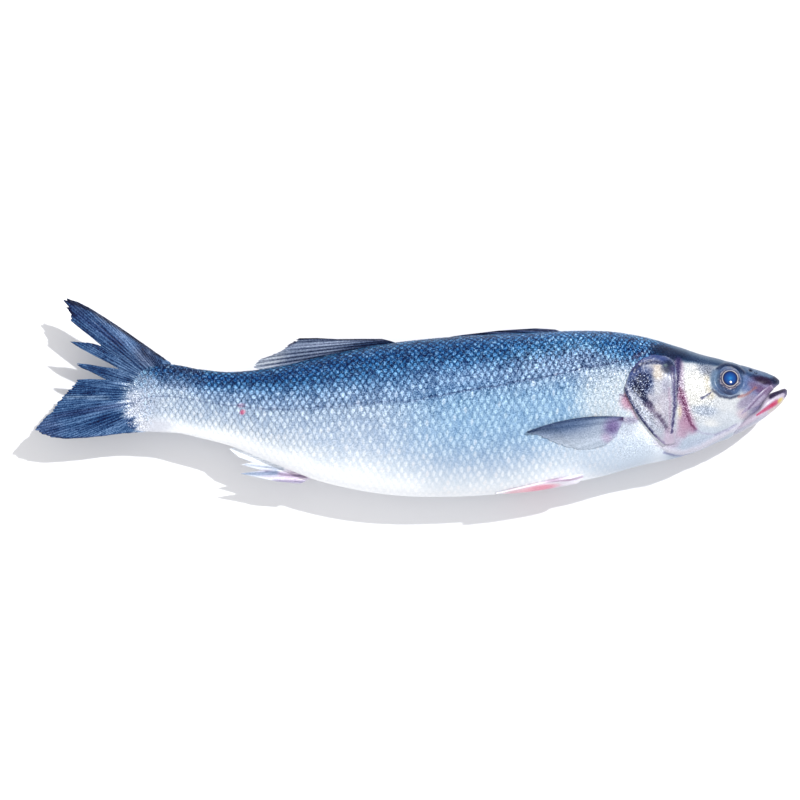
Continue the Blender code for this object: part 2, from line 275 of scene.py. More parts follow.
# Where the dark top of the head ends, along the fish.
BROW_LINE: Table = (
    (104, 18.5),
    (112, 15.8),
    (118, 14.9),
    (124, 13.6),
    (130, 13.0),
    (142, 9.4),
    (150, 6.6),
    (157, 5.6),
)


class Side(Enum):
    """The two sides of the fish, and the way out of each along Z."""

    RIGHT = 1
    LEFT = -1

    @property
    def word(self) -> str:
        """The side as it stands in the names of pieces."""
        return self.name.lower()


def smooth(values: np.ndarray, low: float, high: float) -> np.ndarray:
    """An even rise from 0 at low to 1 at high.

    Args:
        values: The numbers to judge.
        low: Where the rise starts.
        high: Where it ends, which may be below low.

    Returns:
        The rise at each value.
    """
    t = np.clip((np.asarray(values, float) - low) / (high - low), 0.0, 1.0)
    return t * t * (3.0 - 2.0 * t)


def linear(colours: np.ndarray) -> np.ndarray:
    """Turns display colours under the studio's light into the linear ones that shaders mix.

    Values over 255 are for white skin that lies in the shade of the flank.
    """
    c = np.maximum(np.asarray(colours, float) / 255.0, 0.0)
    bright = np.where(c <= 0.04045, c / 12.92, ((c + 0.055) / 1.055) ** 2.4)
    return np.clip(bright / PAINT_LIGHT, 0.0, MOST_WHITE)


def shade(colour: Rgb) -> tuple[float, float, float, float]:
    """One display colour as a socket's linear colour."""
    return (*linear(np.array(colour)).tolist(), 1.0)


def everywhere(values: Sequence[float], x: np.ndarray) -> np.ndarray:
    """The same three numbers at every place."""
    return np.tile(np.array(values, float), (len(x), 1))


def ruffle(points: np.ndarray, size: float, seed: float = 0.0) -> np.ndarray:
    """Soft random numbers from -1 to 1 that vary over space.

    Args:
        points: Places, one row of three numbers each.
        size: The breadth of the swells, in the same units.
        seed: Another number gives other swells.

    Returns:
        One number for each place.
    """
    shift = Vector((seed * 7.3, seed * 3.1, seed * 5.7))
    return np.array([noise.noise(Vector(p) / size + shift) for p in points.tolist()])


class Curve:
    """A smooth curve through knots in order of their first number."""

    def __init__(self, knots: Table, column: int = 1) -> None:
        """Takes the knots, and the column that holds the heights."""
        self.xs = np.array([knot[0] for knot in knots], float)
        self.ys = np.array([knot[column] for knot in knots], float)
        count = len(knots)
        before = np.maximum(np.arange(count) - 1, 0)
        after = np.minimum(np.arange(count) + 1, count - 1)
        self.slopes = (self.ys[after] - self.ys[before]) / (self.xs[after] - self.xs[before])

    def at(self, x: np.ndarray) -> np.ndarray:
        """The curve's heights at the given places."""
        x = np.clip(x, self.xs[0], self.xs[-1])
        i = np.clip(np.searchsorted(self.xs, x, side="left") - 1, 0, len(self.xs) - 2)
        span = self.xs[i + 1] - self.xs[i]
        t = (x - self.xs[i]) / span
        return (
            (1 + 2 * t) * (1 - t) ** 2 * self.ys[i]
            + t * (1 - t) ** 2 * span * self.slopes[i]
            + t * t * (3 - 2 * t) * self.ys[i + 1]
            + t * t * (t - 1) * span * self.slopes[i + 1]
        )


class FishForm:
    """The smooth form of the trunk and head, or of the lower jaw."""

    def __init__(self, stations: Table) -> None:
        """Takes the stations from the tail forward."""
        self.upper = Curve(stations, 1)
        self.lower = Curve(stations, 2)
        self.half_width = Curve(stations, 3)
        self.start = stations[0][0]
        self.end = stations[-1][0]

    def section(self, x: np.ndarray) -> tuple[np.ndarray, np.ndarray, np.ndarray, np.ndarray]:
        """The widest level at x, the reach up and down from it, and the half width."""
        upper, lower = self.upper.at(x), self.lower.at(x)
        level = (upper + lower) / 2 + WIDEST_LEVEL * (upper - lower) / 2
        return level, upper - level, level - lower, self.half_width.at(x)

    def skin(self, x: np.ndarray, angle: np.ndarray, lift: np.ndarray | float = 0.0) -> np.ndarray:
        """Points on the skin, or lifted off it.

        Args:
            x: Places along the fish.
            angle: Places round it: 0 at the back, pi at the belly, and less than 0 on the left side.
            lift: How far out of the skin, square to the section.

        Returns:
            One row of three numbers for each point.
        """
        level, up, down, half_width = self.section(x)
        turn, swing = np.cos(angle), np.sin(angle)
        reach = np.where(turn > 0, up, down)
        y = level + reach * turn
        z = half_width * np.sign(swing) * np.abs(swing) ** FLANK_FULLNESS
        out_y, out_z = turn * half_width, swing * reach
        length = np.maximum(np.hypot(out_y, out_z), 1e-9)
        return np.stack([x + 0 * y, y + lift * out_y / length, z + lift * out_z / length], axis=1)

    def flank_angle(self, x: np.ndarray, y: np.ndarray) -> np.ndarray:
        """The angle round the right side where the flank's outline has height y."""
        level, up, down, _ = self.section(x)
        reach = np.where(y > level, up, down)
        return np.arccos(np.clip((y - level) / reach, -0.995, 0.995))

    def depth_share(self, x: np.ndarray, y: np.ndarray) -> np.ndarray:
        """The share of the way from the back, at 0, to the belly, at 1."""
        upper, lower = self.upper.at(x), self.lower.at(x)
        return np.clip((upper - y) / (upper - lower), 0.0, 1.0)


BODY = FishForm(BODY_STATIONS)
SHEATHED = FishForm(tuple(SHEATH_STATIONS) + tuple(row for row in BODY_STATIONS if row[0] > -108.0))
# Above the jaw the head reaches down by this much more, and hides the jaw's upper edge.
HEAD_OVERLAP = 1.5
HEAD = FishForm(
    tuple(
        (x, back, belly - (HEAD_OVERLAP if 135.0 < x < 149.0 else 0.0), half)
        for x, back, belly, half in BODY_STATIONS
    )
)
JAW = FishForm(JAW_STATIONS)


def laid(points: np.ndarray) -> np.ndarray:
    """Lays drawn points on the table: what would reach into it is pressed flat."""
    placed = np.array(points, float)
    placed[:, 2] = np.maximum(0.0, placed[:, 2] + LYING_HEIGHT)
    return placed * UNIT


def laid_plate(outer: np.ndarray, inner: np.ndarray, layer: np.ndarray) -> np.ndarray:
    """Lays a plate's two faces on the table, pushed up together where they would reach into it.

    Args:
        outer: Points of the face that looks out of the fish.
        inner: The points behind them.
        layer: 1 for the vertices of the outer face, and 0 for those of the inner one.

    Returns:
        The places of the vertices, in metres.
    """
    push = np.maximum(0.0, -(np.minimum(outer[:, 2], inner[:, 2]) + LYING_HEIGHT))
    chosen = np.where(layer[:, None] > 0.5, outer, inner)
    chosen[:, 2] += push
    return laid(chosen)


@dataclass(frozen=True)
class Wash:
    """A soft oval patch of colour, and of relief where the surface swells or sinks."""

    x: float
    y: float
    reach_x: float
    reach_y: float
    colour: Rgb = (255, 255, 255)
    strength: float = 1.0
    turn: float = 0.0
    edge: float = 0.7
    lift: float = 0.0

    def mask(self, x: np.ndarray, y: np.ndarray) -> np.ndarray:
        """How strongly the patch covers each place, from 0 to 1."""
        cos, sin = math.cos(math.radians(self.turn)), math.sin(math.radians(self.turn))
        along = ((x - self.x) * cos + (y - self.y) * sin) / self.reach_x
        across = ((y - self.y) * cos - (x - self.x) * sin) / self.reach_y
        return smooth(np.hypot(along, across), 1.0, 1.0 - self.edge)


@dataclass(frozen=True)
class Stroke:
    """A soft line of colour through points, and of relief where it is a ridge or a groove."""

    points: Table
    width: float
    colour: Rgb = (255, 255, 255)
    strength: float = 1.0
    end_width: float = -1.0
    edge: float = 0.6
    lift: float = 0.0

    def mask(self, x: np.ndarray, y: np.ndarray) -> np.ndarray:
        """How strongly the line covers each place, from 0 to 1."""
        best = np.zeros_like(x)
        count = len(self.points) - 1
        end_width = self.width if self.end_width < 0 else self.end_width
        for i, (start, end) in enumerate(zip(self.points, self.points[1:])):
            run_x, run_y = end[0] - start[0], end[1] - start[1]
            length = run_x * run_x + run_y * run_y
            t = np.clip(((x - start[0]) * run_x + (y - start[1]) * run_y) / length, 0.0, 1.0)
            away = np.hypot(x - start[0] - t * run_x, y - start[1] - t * run_y)
            half = (self.width + (end_width - self.width) * (i + t) / count) / 2
            best = np.maximum(best, smooth(away / np.maximum(half, 1e-6), 1.0 + self.edge, 1.0 - self.edge))
        return best


@dataclass(frozen=True)
class Ring:
    """A soft ring."""

    x: float
    y: float
    radius: float
    width: float
    edge: float = 0.6

    def mask(self, x: np.ndarray, y: np.ndarray) -> np.ndarray:
        """How strongly the ring covers each place, from 0 to 1."""
        away = np.abs(np.hypot(x - self.x, y - self.y) - self.radius) / (self.width / 2)
        return smooth(away, 1.0 + self.edge, 1.0 - self.edge)


Layer = Wash | Stroke


def painted(
    base: np.ndarray | Rgb, x: np.ndarray, y: np.ndarray, layers: Sequence[Layer]
) -> np.ndarray:
    """Lays patches and lines of colour over a base, in order.

    Args:
        base: Display colours, one row for each place, or one colour for all of them.
        x: Places along the fish.
        y: Places across it.
        layers: The patches and lines.

    Returns:
        The display colours.
    """
    colours = np.array(np.broadcast_to(np.asarray(base, float), (len(x), 3)))
    for layer in layers:
        cover = (layer.mask(x, y) * layer.strength)[:, None]
        colours += (np.array(layer.colour, float) - colours) * cover
    return colours


def relief(x: np.ndarray, y: np.ndarray, layers: Sequence[Layer]) -> np.ndarray:
    """The sum of the swells and grooves of the patches and lines."""
    total = np.zeros_like(x)
    for layer in layers:
        if layer.lift:
            total += layer.mask(x, y) * layer.lift
    return total


class Blank:
    """Plain starting shapes, whose vertices hold their own parameters until they are placed."""

    @staticmethod
    def tube(around: int, along: int) -> bmesh.types.BMesh:
        """A closed tube about Z, of radius 1, from -0.5 to 0.5."""
        bm = bmesh.new()
        bmesh.ops.create_cone(
            bm, cap_ends=True, cap_tris=False, segments=around, radius1=1.0, radius2=1.0, depth=1.0
        )
        long_edges = [e for e in bm.edges if abs(e.verts[0].co.z - e.verts[1].co.z) > 0.5]
        bmesh.ops.subdivide_edges(bm, edges=long_edges, cuts=along - 1)
        for face in bm.faces:
            if len(face.verts) > 4:
                for edge in face.edges:
                    edge.smooth = False
        return bm

    @staticmethod
    def slab(across: int, along: int) -> bmesh.types.BMesh:
        """A closed slab over a grid from -0.5 to 0.5 both ways, with faces at 0 and 1."""
        bm = bmesh.new()
        bmesh.ops.create_grid(bm, x_segments=across, y_segments=along, size=0.5)
        made = bmesh.ops.extrude_face_region(bm, geom=bm.faces[:], use_keep_orig=True)
        top = [item for item in made["geom"] if isinstance(item, bmesh.types.BMVert)]
        bmesh.ops.translate(bm, vec=(0.0, 0.0, 1.0), verts=top)
        return bm

    @staticmethod
    def parameters(bm: bmesh.types.BMesh) -> np.ndarray:
        """The vertices' parameters, one row of three numbers each."""
        return np.array([vertex.co[:] for vertex in bm.verts])


@dataclass
class Piece:
    """One visible piece, from its shaped mesh to its place in the fish."""

    name: str
    bm: bmesh.types.BMesh
    places: np.ndarray
    finish: bpy.types.Material
    slot: str
    stands_for: tuple[str, ...]

    def make(self, colours: dict[str, np.ndarray], vectors: dict[str, np.ndarray]) -> bpy.types.Object:
        """Places the vertices, hands the mesh its paint and joins the piece to the fish.

        Args:
            colours: Display colours for each vertex, by attribute name.
            vectors: Rows of three numbers for each vertex, by attribute name.

        Returns:
            The finished object.
        """
        for vertex, place in zip(self.bm.verts, self.places.tolist()):
            vertex.co = place
        bmesh.ops.recalc_face_normals(self.bm, faces=self.bm.faces)
        mesh = bpy.data.meshes.new(self.name)
        self.bm.to_mesh(mesh)
        self.bm.free()
        mesh.shade_smooth()
        for name, values in colours.items():
            cover = values[:, 3:] if values.shape[1] > 3 else np.ones((len(values), 1))
            rows = np.concatenate([linear(values[:, :3]), cover], axis=1)
            layer = mesh.attributes.new(name, "FLOAT_COLOR", "POINT")
            layer.data.foreach_set("color", rows.ravel())
        for name, values in vectors.items():
            layer = mesh.attributes.new(name, "FLOAT_VECTOR", "POINT")
            layer.data.foreach_set("vector", np.asarray(values, float).ravel())
        mesh.materials.append(self.finish)
        made = bpy.data.objects.new(self.name, mesh)
        bpy.context.scene.collection.objects.link(made)
        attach(made, "root")
        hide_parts(*self.stands_for)
        mesh.calc_loop_triangles()
        LOG.info("%s: %d triangles, stands for %s", self.name, len(mesh.loop_triangles), self.stands_for)
        return made


class Board:
    """Adds nodes to one tree and joins them."""

    def __init__(self, tree: bpy.types.NodeTree) -> None:
        """Takes the tree of a material or of a group."""
        self.tree = tree

    def node(self, kind: str, **settings: object) -> bpy.types.Node:
        """Adds a node with the given settings."""
        made = self.tree.nodes.new(kind)
        for name, value in settings.items():
            setattr(made, name, value)
        return made

    def feed(self, socket: bpy.types.NodeSocket, value: object) -> None:
        """Joins a socket to another, or sets its number or colour."""
        if isinstance(value, bpy.types.NodeSocket):
            self.tree.links.new(value, socket)
        else:
            socket.default_value = value

    def math(self, operation: str, *values: object, clamp: bool = False) -> bpy.types.NodeSocket:
        """One sum, with sockets or numbers."""
        made = self.node("ShaderNodeMath", operation=operation, use_clamp=clamp)
        for socket, value in zip(made.inputs, values):
            self.feed(socket, value)
        return made.outputs[0]

    def mix(self, share: object, low: object, high: object, blend: str = "MIX") -> bpy.types.NodeSocket:
        """Mixes two colours."""
        made = self.node("ShaderNodeMix", data_type="RGBA", blend_type=blend)
        self.feed(made.inputs[0], share)
        self.feed(made.inputs[6], low)
        self.feed(made.inputs[7], high)
        return made.outputs[2]

    def rise(
        self, value: object, low: float, high: float, start: float = 0.0, end: float = 1.0
    ) -> bpy.types.NodeSocket:
        """An even rise from start at low to end at high."""
        made = self.node("ShaderNodeMapRange", interpolation_type="SMOOTHSTEP")
        for socket, number in zip(made.inputs, (value, low, high, start, end)):
            self.feed(socket, number)
        return made.outputs[0]

    def split(self, vector: object) -> Sequence[bpy.types.NodeSocket]:
        """The three numbers of a vector."""
        made = self.node("ShaderNodeSeparateXYZ")
        self.feed(made.inputs[0], vector)
        return made.outputs[0], made.outputs[1], made.outputs[2]

    def carried(self, name: str, output: str = "Vector") -> bpy.types.NodeSocket:
        """What a piece's mesh carries under this name."""
        made = self.node("ShaderNodeAttribute", attribute_name=name, attribute_type="GEOMETRY")
        return made.outputs[output]

    def place(self) -> bpy.types.NodeSocket:
        """The object's own coordinates."""
        return self.node("ShaderNodeTexCoord").outputs["Object"]

    def noise(self, size_mm: float, detail: float, place: object, output: int = 0) -> bpy.types.NodeSocket:
        """Soft noise with swells of the given size: output 0 is a number, and output 1 a colour."""
        made = self.node("ShaderNodeTexNoise", noise_dimensions="3D")
        self.feed(made.inputs["Vector"], place)
        made.inputs["Scale"].default_value = 1000.0 / size_mm
        made.inputs["Detail"].default_value = detail
        return made.outputs[output]

    def vector_math(self, operation: str, *values: object) -> bpy.types.Node:
        """One vector sum, with sockets or rows of three numbers."""
        made = self.node("ShaderNodeVectorMath", operation=operation)
        for socket, value in zip(made.inputs, values):
            self.feed(socket, value)
        return made


def group_tree(name: str, inputs: Sequence[tuple[str, str]], outputs: Sequence[str]) -> bpy.types.NodeTree:
    """An empty shader group.

    Args:
        name: The group's name.
        inputs: The name and socket type of each input.
        outputs: The name of each output, which are all numbers.

    Returns:
        The group's tree.
    """
    tree = bpy.data.node_groups.new(name, "ShaderNodeTree")
    for label, kind in inputs:
        tree.interface.new_socket(label, in_out="INPUT", socket_type=kind)
    for label in outputs:
        tree.interface.new_socket(label, in_out="OUTPUT", socket_type="NodeSocketFloat")
    return tree


@dataclass(frozen=True)
class ScalePattern:
    """Rows of round scales that overlap like tiles, with their free edges towards the tail.

    Places are given in the rows' own measure: scales follow each other 1 apart along u, rows lie 1 apart
    along v, and each row is shifted by half a scale against the next.
    """

    reach: float = 0.92
    half_height: float = 1.06

    def row(self, u: np.ndarray, v: np.ndarray) -> tuple[np.ndarray, np.ndarray, np.ndarray]:
        """How far past a scale's free edge each place is, which scale that is, and its place across."""
        across = np.mod(v + 1.0, 2.0) - 1.0
        ahead = u + self.reach * np.sqrt(np.maximum(1.0 - (across / self.half_height) ** 2, 0.0))
        return ahead - np.floor(ahead), np.floor(ahead), across

    def height(self, u: np.ndarray, v: np.ndarray) -> np.ndarray:
        """The relief: 1 at a scale's free edge, and 0 where the next one covers it."""
        past_a, which_a, _ = self.row(u, v)
        past_b, which_b, _ = self.row(u - 0.5, v - 1.0)
        past = np.where(which_a > which_b + 0.5, past_a, past_b)
        left = 1.0 - np.maximum(past_a, past_b)
        return (1.0 - 0.85 * past) * (0.35 + 0.65 * smooth(left, 0.0, 0.16))

    def group(self) -> bpy.types.NodeTree:
        """The same pattern as a shader group, with a random tone for each scale."""
        tree = group_tree(
            "Overlapping scales", [("Rows", "NodeSocketVector")], ("Blob", "Rim", "Line", "Tone", "Height")
        )
        board = Board(tree)
        u, v, _ = board.split(board.node("NodeGroupInput").outputs[0])

        def row(along: object, aside: object) -> tuple[bpy.types.NodeSocket, ...]:
            """How far past a free edge each place of one set of rows is, which scale it is on, and where."""
            across = board.math("WRAP", aside, 1.0, -1.0)
            share = board.math("DIVIDE", across, self.half_height)
            room = board.math("SUBTRACT", 1.0, board.math("MULTIPLY", share, share))
            bulge = board.math("MULTIPLY", board.math("SQRT", board.math("MAXIMUM", room, 0.0)), self.reach)
            ahead = board.math("ADD", along, bulge)
            past = board.math("SUBTRACT", ahead, board.math("FLOOR", ahead))
            return past, board.math("FLOOR", ahead), across

        past_a, which_a, across_a = row(u, v)
        past_b, which_b, across_b = row(board.math("SUBTRACT", u, 0.5), board.math("SUBTRACT", v, 1.0))
        which_b = board.math("ADD", which_b, 0.5)
        front = board.math("GREATER_THAN", which_a, which_b)

        def pick(low: object, high: object) -> bpy.types.NodeSocket:
            """The value of the scale that lies on top."""
            return board.math("MULTIPLY_ADD", board.math("SUBTRACT", high, low), front, low)

        past, across, which = pick(past_b, past_a), pick(across_b, across_a), pick(which_b, which_a)
        left = board.math("SUBTRACT", 1.0, board.math("MAXIMUM", past_a, past_b))
        name = board.node("ShaderNodeCombineXYZ")
        board.feed(name.inputs[0], which)
        board.feed(name.inputs[1], board.math("ROUND", board.math("SUBTRACT", v, across)))
        toss = board.node("ShaderNodeTexWhiteNoise", noise_dimensions="3D")
        board.feed(toss.inputs["Vector"], name.outputs[0])
        shift = board.node("ShaderNodeSeparateColor")
        board.feed(shift.inputs[0], toss.outputs["Color"])
        off = board.math("SUBTRACT", past, board.math("MULTIPLY_ADD", shift.outputs[0], 0.24, 0.24))
        aside = board.math("SUBTRACT", across, board.math("MULTIPLY_ADD", shift.outputs[1], 0.4, -0.2))
        oval = board.math(
            "ADD",
            board.math("MULTIPLY", board.math("MULTIPLY", aside, aside), 2.2),
            board.math("MULTIPLY", board.math("MULTIPLY", off, off), 11.0),
        )
        slope = board.math("SUBTRACT", 1.0, board.math("MULTIPLY", past, 0.85))
        values = (
            board.math("MULTIPLY", board.rise(oval, 1.1, 0.0), board.rise(left, 0.0, 0.12)),
            # Painted light: a little lighter along each scale's raised free edge.
            board.rise(past, 0.16, 0.0),
            # Painted shade: dark just behind the edge of the scale that lies on top, partly the dark seam
            # between scales.
            board.rise(left, 0.13, 0.01),
            toss.outputs["Value"],
            board.math("MULTIPLY", slope, board.rise(left, 0.0, 0.16, 0.35, 1.0)),
        )
        out = board.node("NodeGroupOutput")
        for socket, value in zip(out.inputs, values):
            board.feed(socket, value)
        return tree


def ray_waves(ray: np.ndarray, along: np.ndarray) -> np.ndarray:
    """The ridges of fin rays that fork twice on their way out: 1 on a ray and 0 between two."""
    single = 0.5 + 0.5 * np.cos(2 * math.pi * ray)
    double = 0.5 + 0.5 * np.cos(4 * math.pi * ray)
    fourfold = 0.5 + 0.5 * np.cos(8 * math.pi * ray)
    wave = single + (double - single) * smooth(along, 0.2, 0.45)
    return wave + (fourfold - wave) * smooth(along, 0.55, 0.85)


def ray_group() -> bpy.types.NodeTree:
    """The ridges of fin rays as a shader group, with the joints of their segments."""
    tree = group_tree("Forked fin rays", [("Ray", "NodeSocketVector")], ("Line", "Joint"))
    board = Board(tree)
    ray, along, _ = board.split(board.node("NodeGroupInput").outputs[0])

    def wave(times: float) -> bpy.types.NodeSocket:
        """Ridges that many times as close as the rays."""
        swing = board.math("COSINE", board.math("MULTIPLY", ray, 2 * math.pi * times))
        return board.math("MULTIPLY_ADD", swing, 0.5, 0.5)

    single, double, fourfold = wave(1.0), wave(2.0), wave(4.0)
    first = board.math(
        "MULTIPLY_ADD", board.math("SUBTRACT", double, single), board.rise(along, 0.2, 0.45), single
    )
    line = board.math(
        "MULTIPLY_ADD", board.math("SUBTRACT", fourfold, first), board.rise(along, 0.55, 0.85), first
    )
    stepped = board.math("FRACT", board.math("MULTIPLY", along, 46.0))
    joint = board.math("MULTIPLY", board.rise(stepped, 0.3, 0.0), board.rise(along, 0.3, 0.6))
    out = board.node("NodeGroupOutput")
    board.feed(out.inputs[0], line)
    board.feed(out.inputs[1], joint)
    return tree


def speckle_group() -> bpy.types.NodeTree:
    """Fine flecks of silver pigment as a shader group: a signed grain, and a mask of flecks that are painted
    as glints.
    """
    tree = group_tree(
        "Silver flecks", [("Place", "NodeSocketVector"), ("Amount", "NodeSocketFloat")], ("Grain", "Fleck")
    )
    board = Board(tree)
    entry = board.node("NodeGroupInput")
    coarse = board.math("SUBTRACT", board.noise(2.4, 2.0, entry.outputs[0]), 0.5)
    fine = board.noise(0.50, 1.5, entry.outputs[0])
    medium = board.math("SUBTRACT", board.noise(0.95, 1.0, entry.outputs[0]), 0.5)
    swing = board.math("MULTIPLY", medium, 1.1)
    swing = board.math("MULTIPLY_ADD", board.math("SUBTRACT", fine, 0.5), 5.4, swing)
    swing = board.math("MULTIPLY_ADD", coarse, 0.8, swing)
    fleck = board.rise(fine, 0.58, 0.70)
    out = board.node("NodeGroupOutput")
    board.feed(out.inputs[0], board.math("MULTIPLY", swing, entry.outputs[1]))
    board.feed(out.inputs[1], fleck)
    return tree


# The eye's colours outwards from the middle of the pupil, and the distance that they reach.
IRIS_REACH = 6.0
IRIS_COLOURS = (
    # The pupil's lighter middle is a painted highlight.
    (0.0, (44, 140, 212)),
    (1.0, (6, 94, 176)),
    (2.2, (0, 62, 142)),
    (2.85, (0, 30, 86)),
    (3.10, (10, 18, 48)),
    (3.24, (176, 170, 180)),
    (3.40, (218, 212, 214)),
    (3.58, (100, 96, 118)),
    (3.9, (62, 60, 82)),
    (4.15, (186, 174, 184)),
    (4.5, (92, 98, 132)),
    (5.0, (46, 66, 108)),
    (5.9, (48, 70, 114)),
)


@dataclass(frozen=True)
class WetFinish:
    """How wet a surface looks."""

    roughness: float
    coat: float
    coat_roughness: float
    specular: float = 0.35

    def start(self, name: str) -> tuple[bpy.types.Material, Board, bpy.types.Node]:
        """A new material with its shader set wet.

        Args:
            name: The material's name.

        Returns:
            The material, a board on its tree, and its shader node.
        """
        made = bpy.data.materials.new(name)
        made.use_nodes = True
        shader = made.node_tree.nodes["Principled BSDF"]
        shader.inputs["Roughness"].default_value = self.roughness
        shader.inputs["Coat Weight"].default_value = self.coat
        shader.inputs["Coat Roughness"].default_value = self.coat_roughness
        shader.inputs["Specular IOR Level"].default_value = self.specular
        return made, Board(made.node_tree), shader


class Finishes:
    """The fish's materials, each made once.

    Attributes:
        darkest: The darkest display colour that grain can leave.
        gamma: How display values rise against light.
    """

    darkest: tuple[float, float, float] = (0.02, 0.05, 0.15)
    gamma: float = 2.2

    def __init__(self) -> None:
        """Builds the shared groups, and the materials that use them."""
        self.scales = ScalePattern().group()
        self.rays = ray_group()
        self.speckles = speckle_group()
        self.skin = self._skin()
        self.jaw_skin = self._bare_skin("Jaw skin", WetFinish(0.34, 0.12, 0.16, 0.2))
        self.gill_bone = self._bare_skin("Gill cover", WetFinish(0.36, 0.05, 0.16, 0.12))
        self.fin = self._fin()
        self.eye = self._eye()

    def _group(self, board: Board, tree: bpy.types.NodeTree, *values: object) -> bpy.types.Node:
        """Places a shared group and feeds its inputs."""
        made = board.node("ShaderNodeGroup")
        made.node_tree = tree
        for socket, value in zip(made.inputs, values):
            board.feed(socket, value)
        return made

    def _tinted(self, board: Board, colour: object, tone: object) -> bpy.types.NodeSocket:
        """A colour made lighter or darker by a tone about 1."""
        grey = board.node("ShaderNodeCombineColor")
        for socket in grey.inputs[:3]:
            board.feed(socket, tone)
        return board.mix(1.0, colour, grey.outputs[0], "MULTIPLY")

    def _grained(self, board: Board, colour: object, grain: object) -> bpy.types.NodeSocket:
        """A colour with a signed grain added evenly to its display values."""
        shown = board.node("ShaderNodeGamma")
        board.feed(shown.inputs[0], colour)
        shown.inputs[1].default_value = 1.0 / self.gamma
        added = board.vector_math("ADD", shown.outputs[0], grain)
        kept = board.vector_math("MAXIMUM", added.outputs[0], self.darkest)
        back = board.node("ShaderNodeGamma")
        board.feed(back.inputs[0], kept.outputs[0])
        back.inputs[1].default_value = self.gamma
        return back.outputs[0]

    def _raised(
        self, board: Board, height: object, strength: float, distance_mm: float
    ) -> bpy.types.NodeSocket:
        """A normal that is tilted by small heights."""
        bump = board.node("ShaderNodeBump")
        bump.inputs["Strength"].default_value = strength
        bump.inputs["Distance"].default_value = distance_mm / 1000.0
        board.feed(bump.inputs["Height"], height)
        return bump.outputs[0]

    def _ragged(self, board: Board, rows: object, place: object) -> bpy.types.NodeSocket:
        """The rows' measure with small random shifts, so that no two scales have the same outline."""
        wobble = board.noise(1.7, 1.0, place, output=1)
        return board.vector_math("MULTIPLY_ADD", wobble, (0.28, 0.32, 0.0), rows).outputs[0]

    def _skin(self) -> bpy.types.Material:
        """Wet skin: light blobs on the scales, dark edge lines partly of painted shade, and painted glints.
        """
        made, board, shader = WetFinish(0.36, 0.05, 0.16, 0.09).start("Skin")
        rows = board.carried("rows")
        _, _, cover = board.split(rows)
        glint, fleckiness, lined = board.split(board.carried("lustre"))
        place = board.place()
        scales = self._group(board, self.scales, self._ragged(board, rows, place))
        blob, rim, line, tone, height = scales.outputs
        flecks = self._group(board, self.speckles, place, fleckiness)
        lit = board.math("MULTIPLY", blob, board.math("MULTIPLY_ADD", tone, 1.0, 0.30))
        lit = board.math("ADD", lit, board.math("MULTIPLY", rim, 0.12))
        lit = board.math("MULTIPLY_ADD", board.math("SUBTRACT", tone, 0.5), 0.30, lit)
        share = board.math("MULTIPLY_ADD", board.math("SUBTRACT", lit, 0.30), cover, 0.5, clamp=True)
        colour = board.mix(share, board.carried("gap", "Color"), board.carried("face", "Color"))
        warm = board.math("MULTIPLY", board.rise(tone, 0.80, 0.95), board.math("MULTIPLY", blob, 0.22))
        warm = board.math("MULTIPLY", warm, board.rise(glint, 0.25, 0.0))
        colour = board.mix(board.math("MULTIPLY", warm, cover), colour, shade((232, 224, 232)))
        # Painted shade along the edges of overlapping scales, partly their dark seams.
        dark = board.math("MULTIPLY", board.math("MULTIPLY", line, lined), cover)
        colour = self._tinted(board, colour, board.math("MULTIPLY_ADD", dark, -0.70, 1.0))
        # Painted glints: cyan-white specks on some scales and on loose silver flecks, mostly high on the
        # back.
        sharp = board.math("MULTIPLY", board.math("POWER", blob, 3.5), cover)
        sharp = board.math("MULTIPLY", sharp, board.rise(tone, 0.05, 0.95, 0.30, 1.1))
        bare = board.math("SUBTRACT", 1.0, board.math("MULTIPLY", cover, 0.5))
        loose = board.math("MULTIPLY", flecks.outputs["Fleck"], bare)
        bright = board.math("MULTIPLY", board.math("MAXIMUM", sharp, loose), glint, clamp=True)
        shine = board.mix(board.rise(tone, 0.60, 1.05), shade((84, 142, 200)), shade((168, 214, 246)))
        shine = board.mix(board.rise(cover, 0.5, 0.2), shine, shade((238, 242, 250)))
        colour = board.mix(bright, colour, shine)
        colour = self._grained(board, colour, flecks.outputs["Grain"])
        board.feed(shader.inputs["Base Color"], colour)
        board.feed(shader.inputs["Roughness"], board.math("MULTIPLY_ADD", share, -0.10, 0.40))
        rough = board.math("MULTIPLY", board.noise(0.9, 1.0, place), 0.3)
        raised = board.math("MULTIPLY_ADD", height, cover, rough)
        board.feed(shader.inputs["Normal"], self._raised(board, raised, 0.5, 0.16))
        return made

    def _bare_skin(self, name: str, finish: WetFinish) -> bpy.types.Material:
        """Smooth wet skin with flecks of silver, some painted bright as glints."""
        made, board, shader = finish.start(name)
        place = board.place()
        glint, fleckiness, _ = board.split(board.carried("lustre"))
        flecks = self._group(board, self.speckles, place, fleckiness)
        # Painted glints on the silver flecks.
        bright = board.math("MULTIPLY", flecks.outputs["Fleck"], glint, clamp=True)
        colour = board.mix(bright, board.carried("tint", "Color"), shade((206, 222, 250)))
        colour = self._grained(board, colour, flecks.outputs["Grain"])
        board.feed(shader.inputs["Base Color"], colour)
        board.feed(shader.inputs["Roughness"], board.math("MULTIPLY_ADD", bright, -0.10, finish.roughness))
        board.feed(shader.inputs["Normal"], self._raised(board, board.noise(1.1, 2.0, place), 0.35, 0.2))
        return made

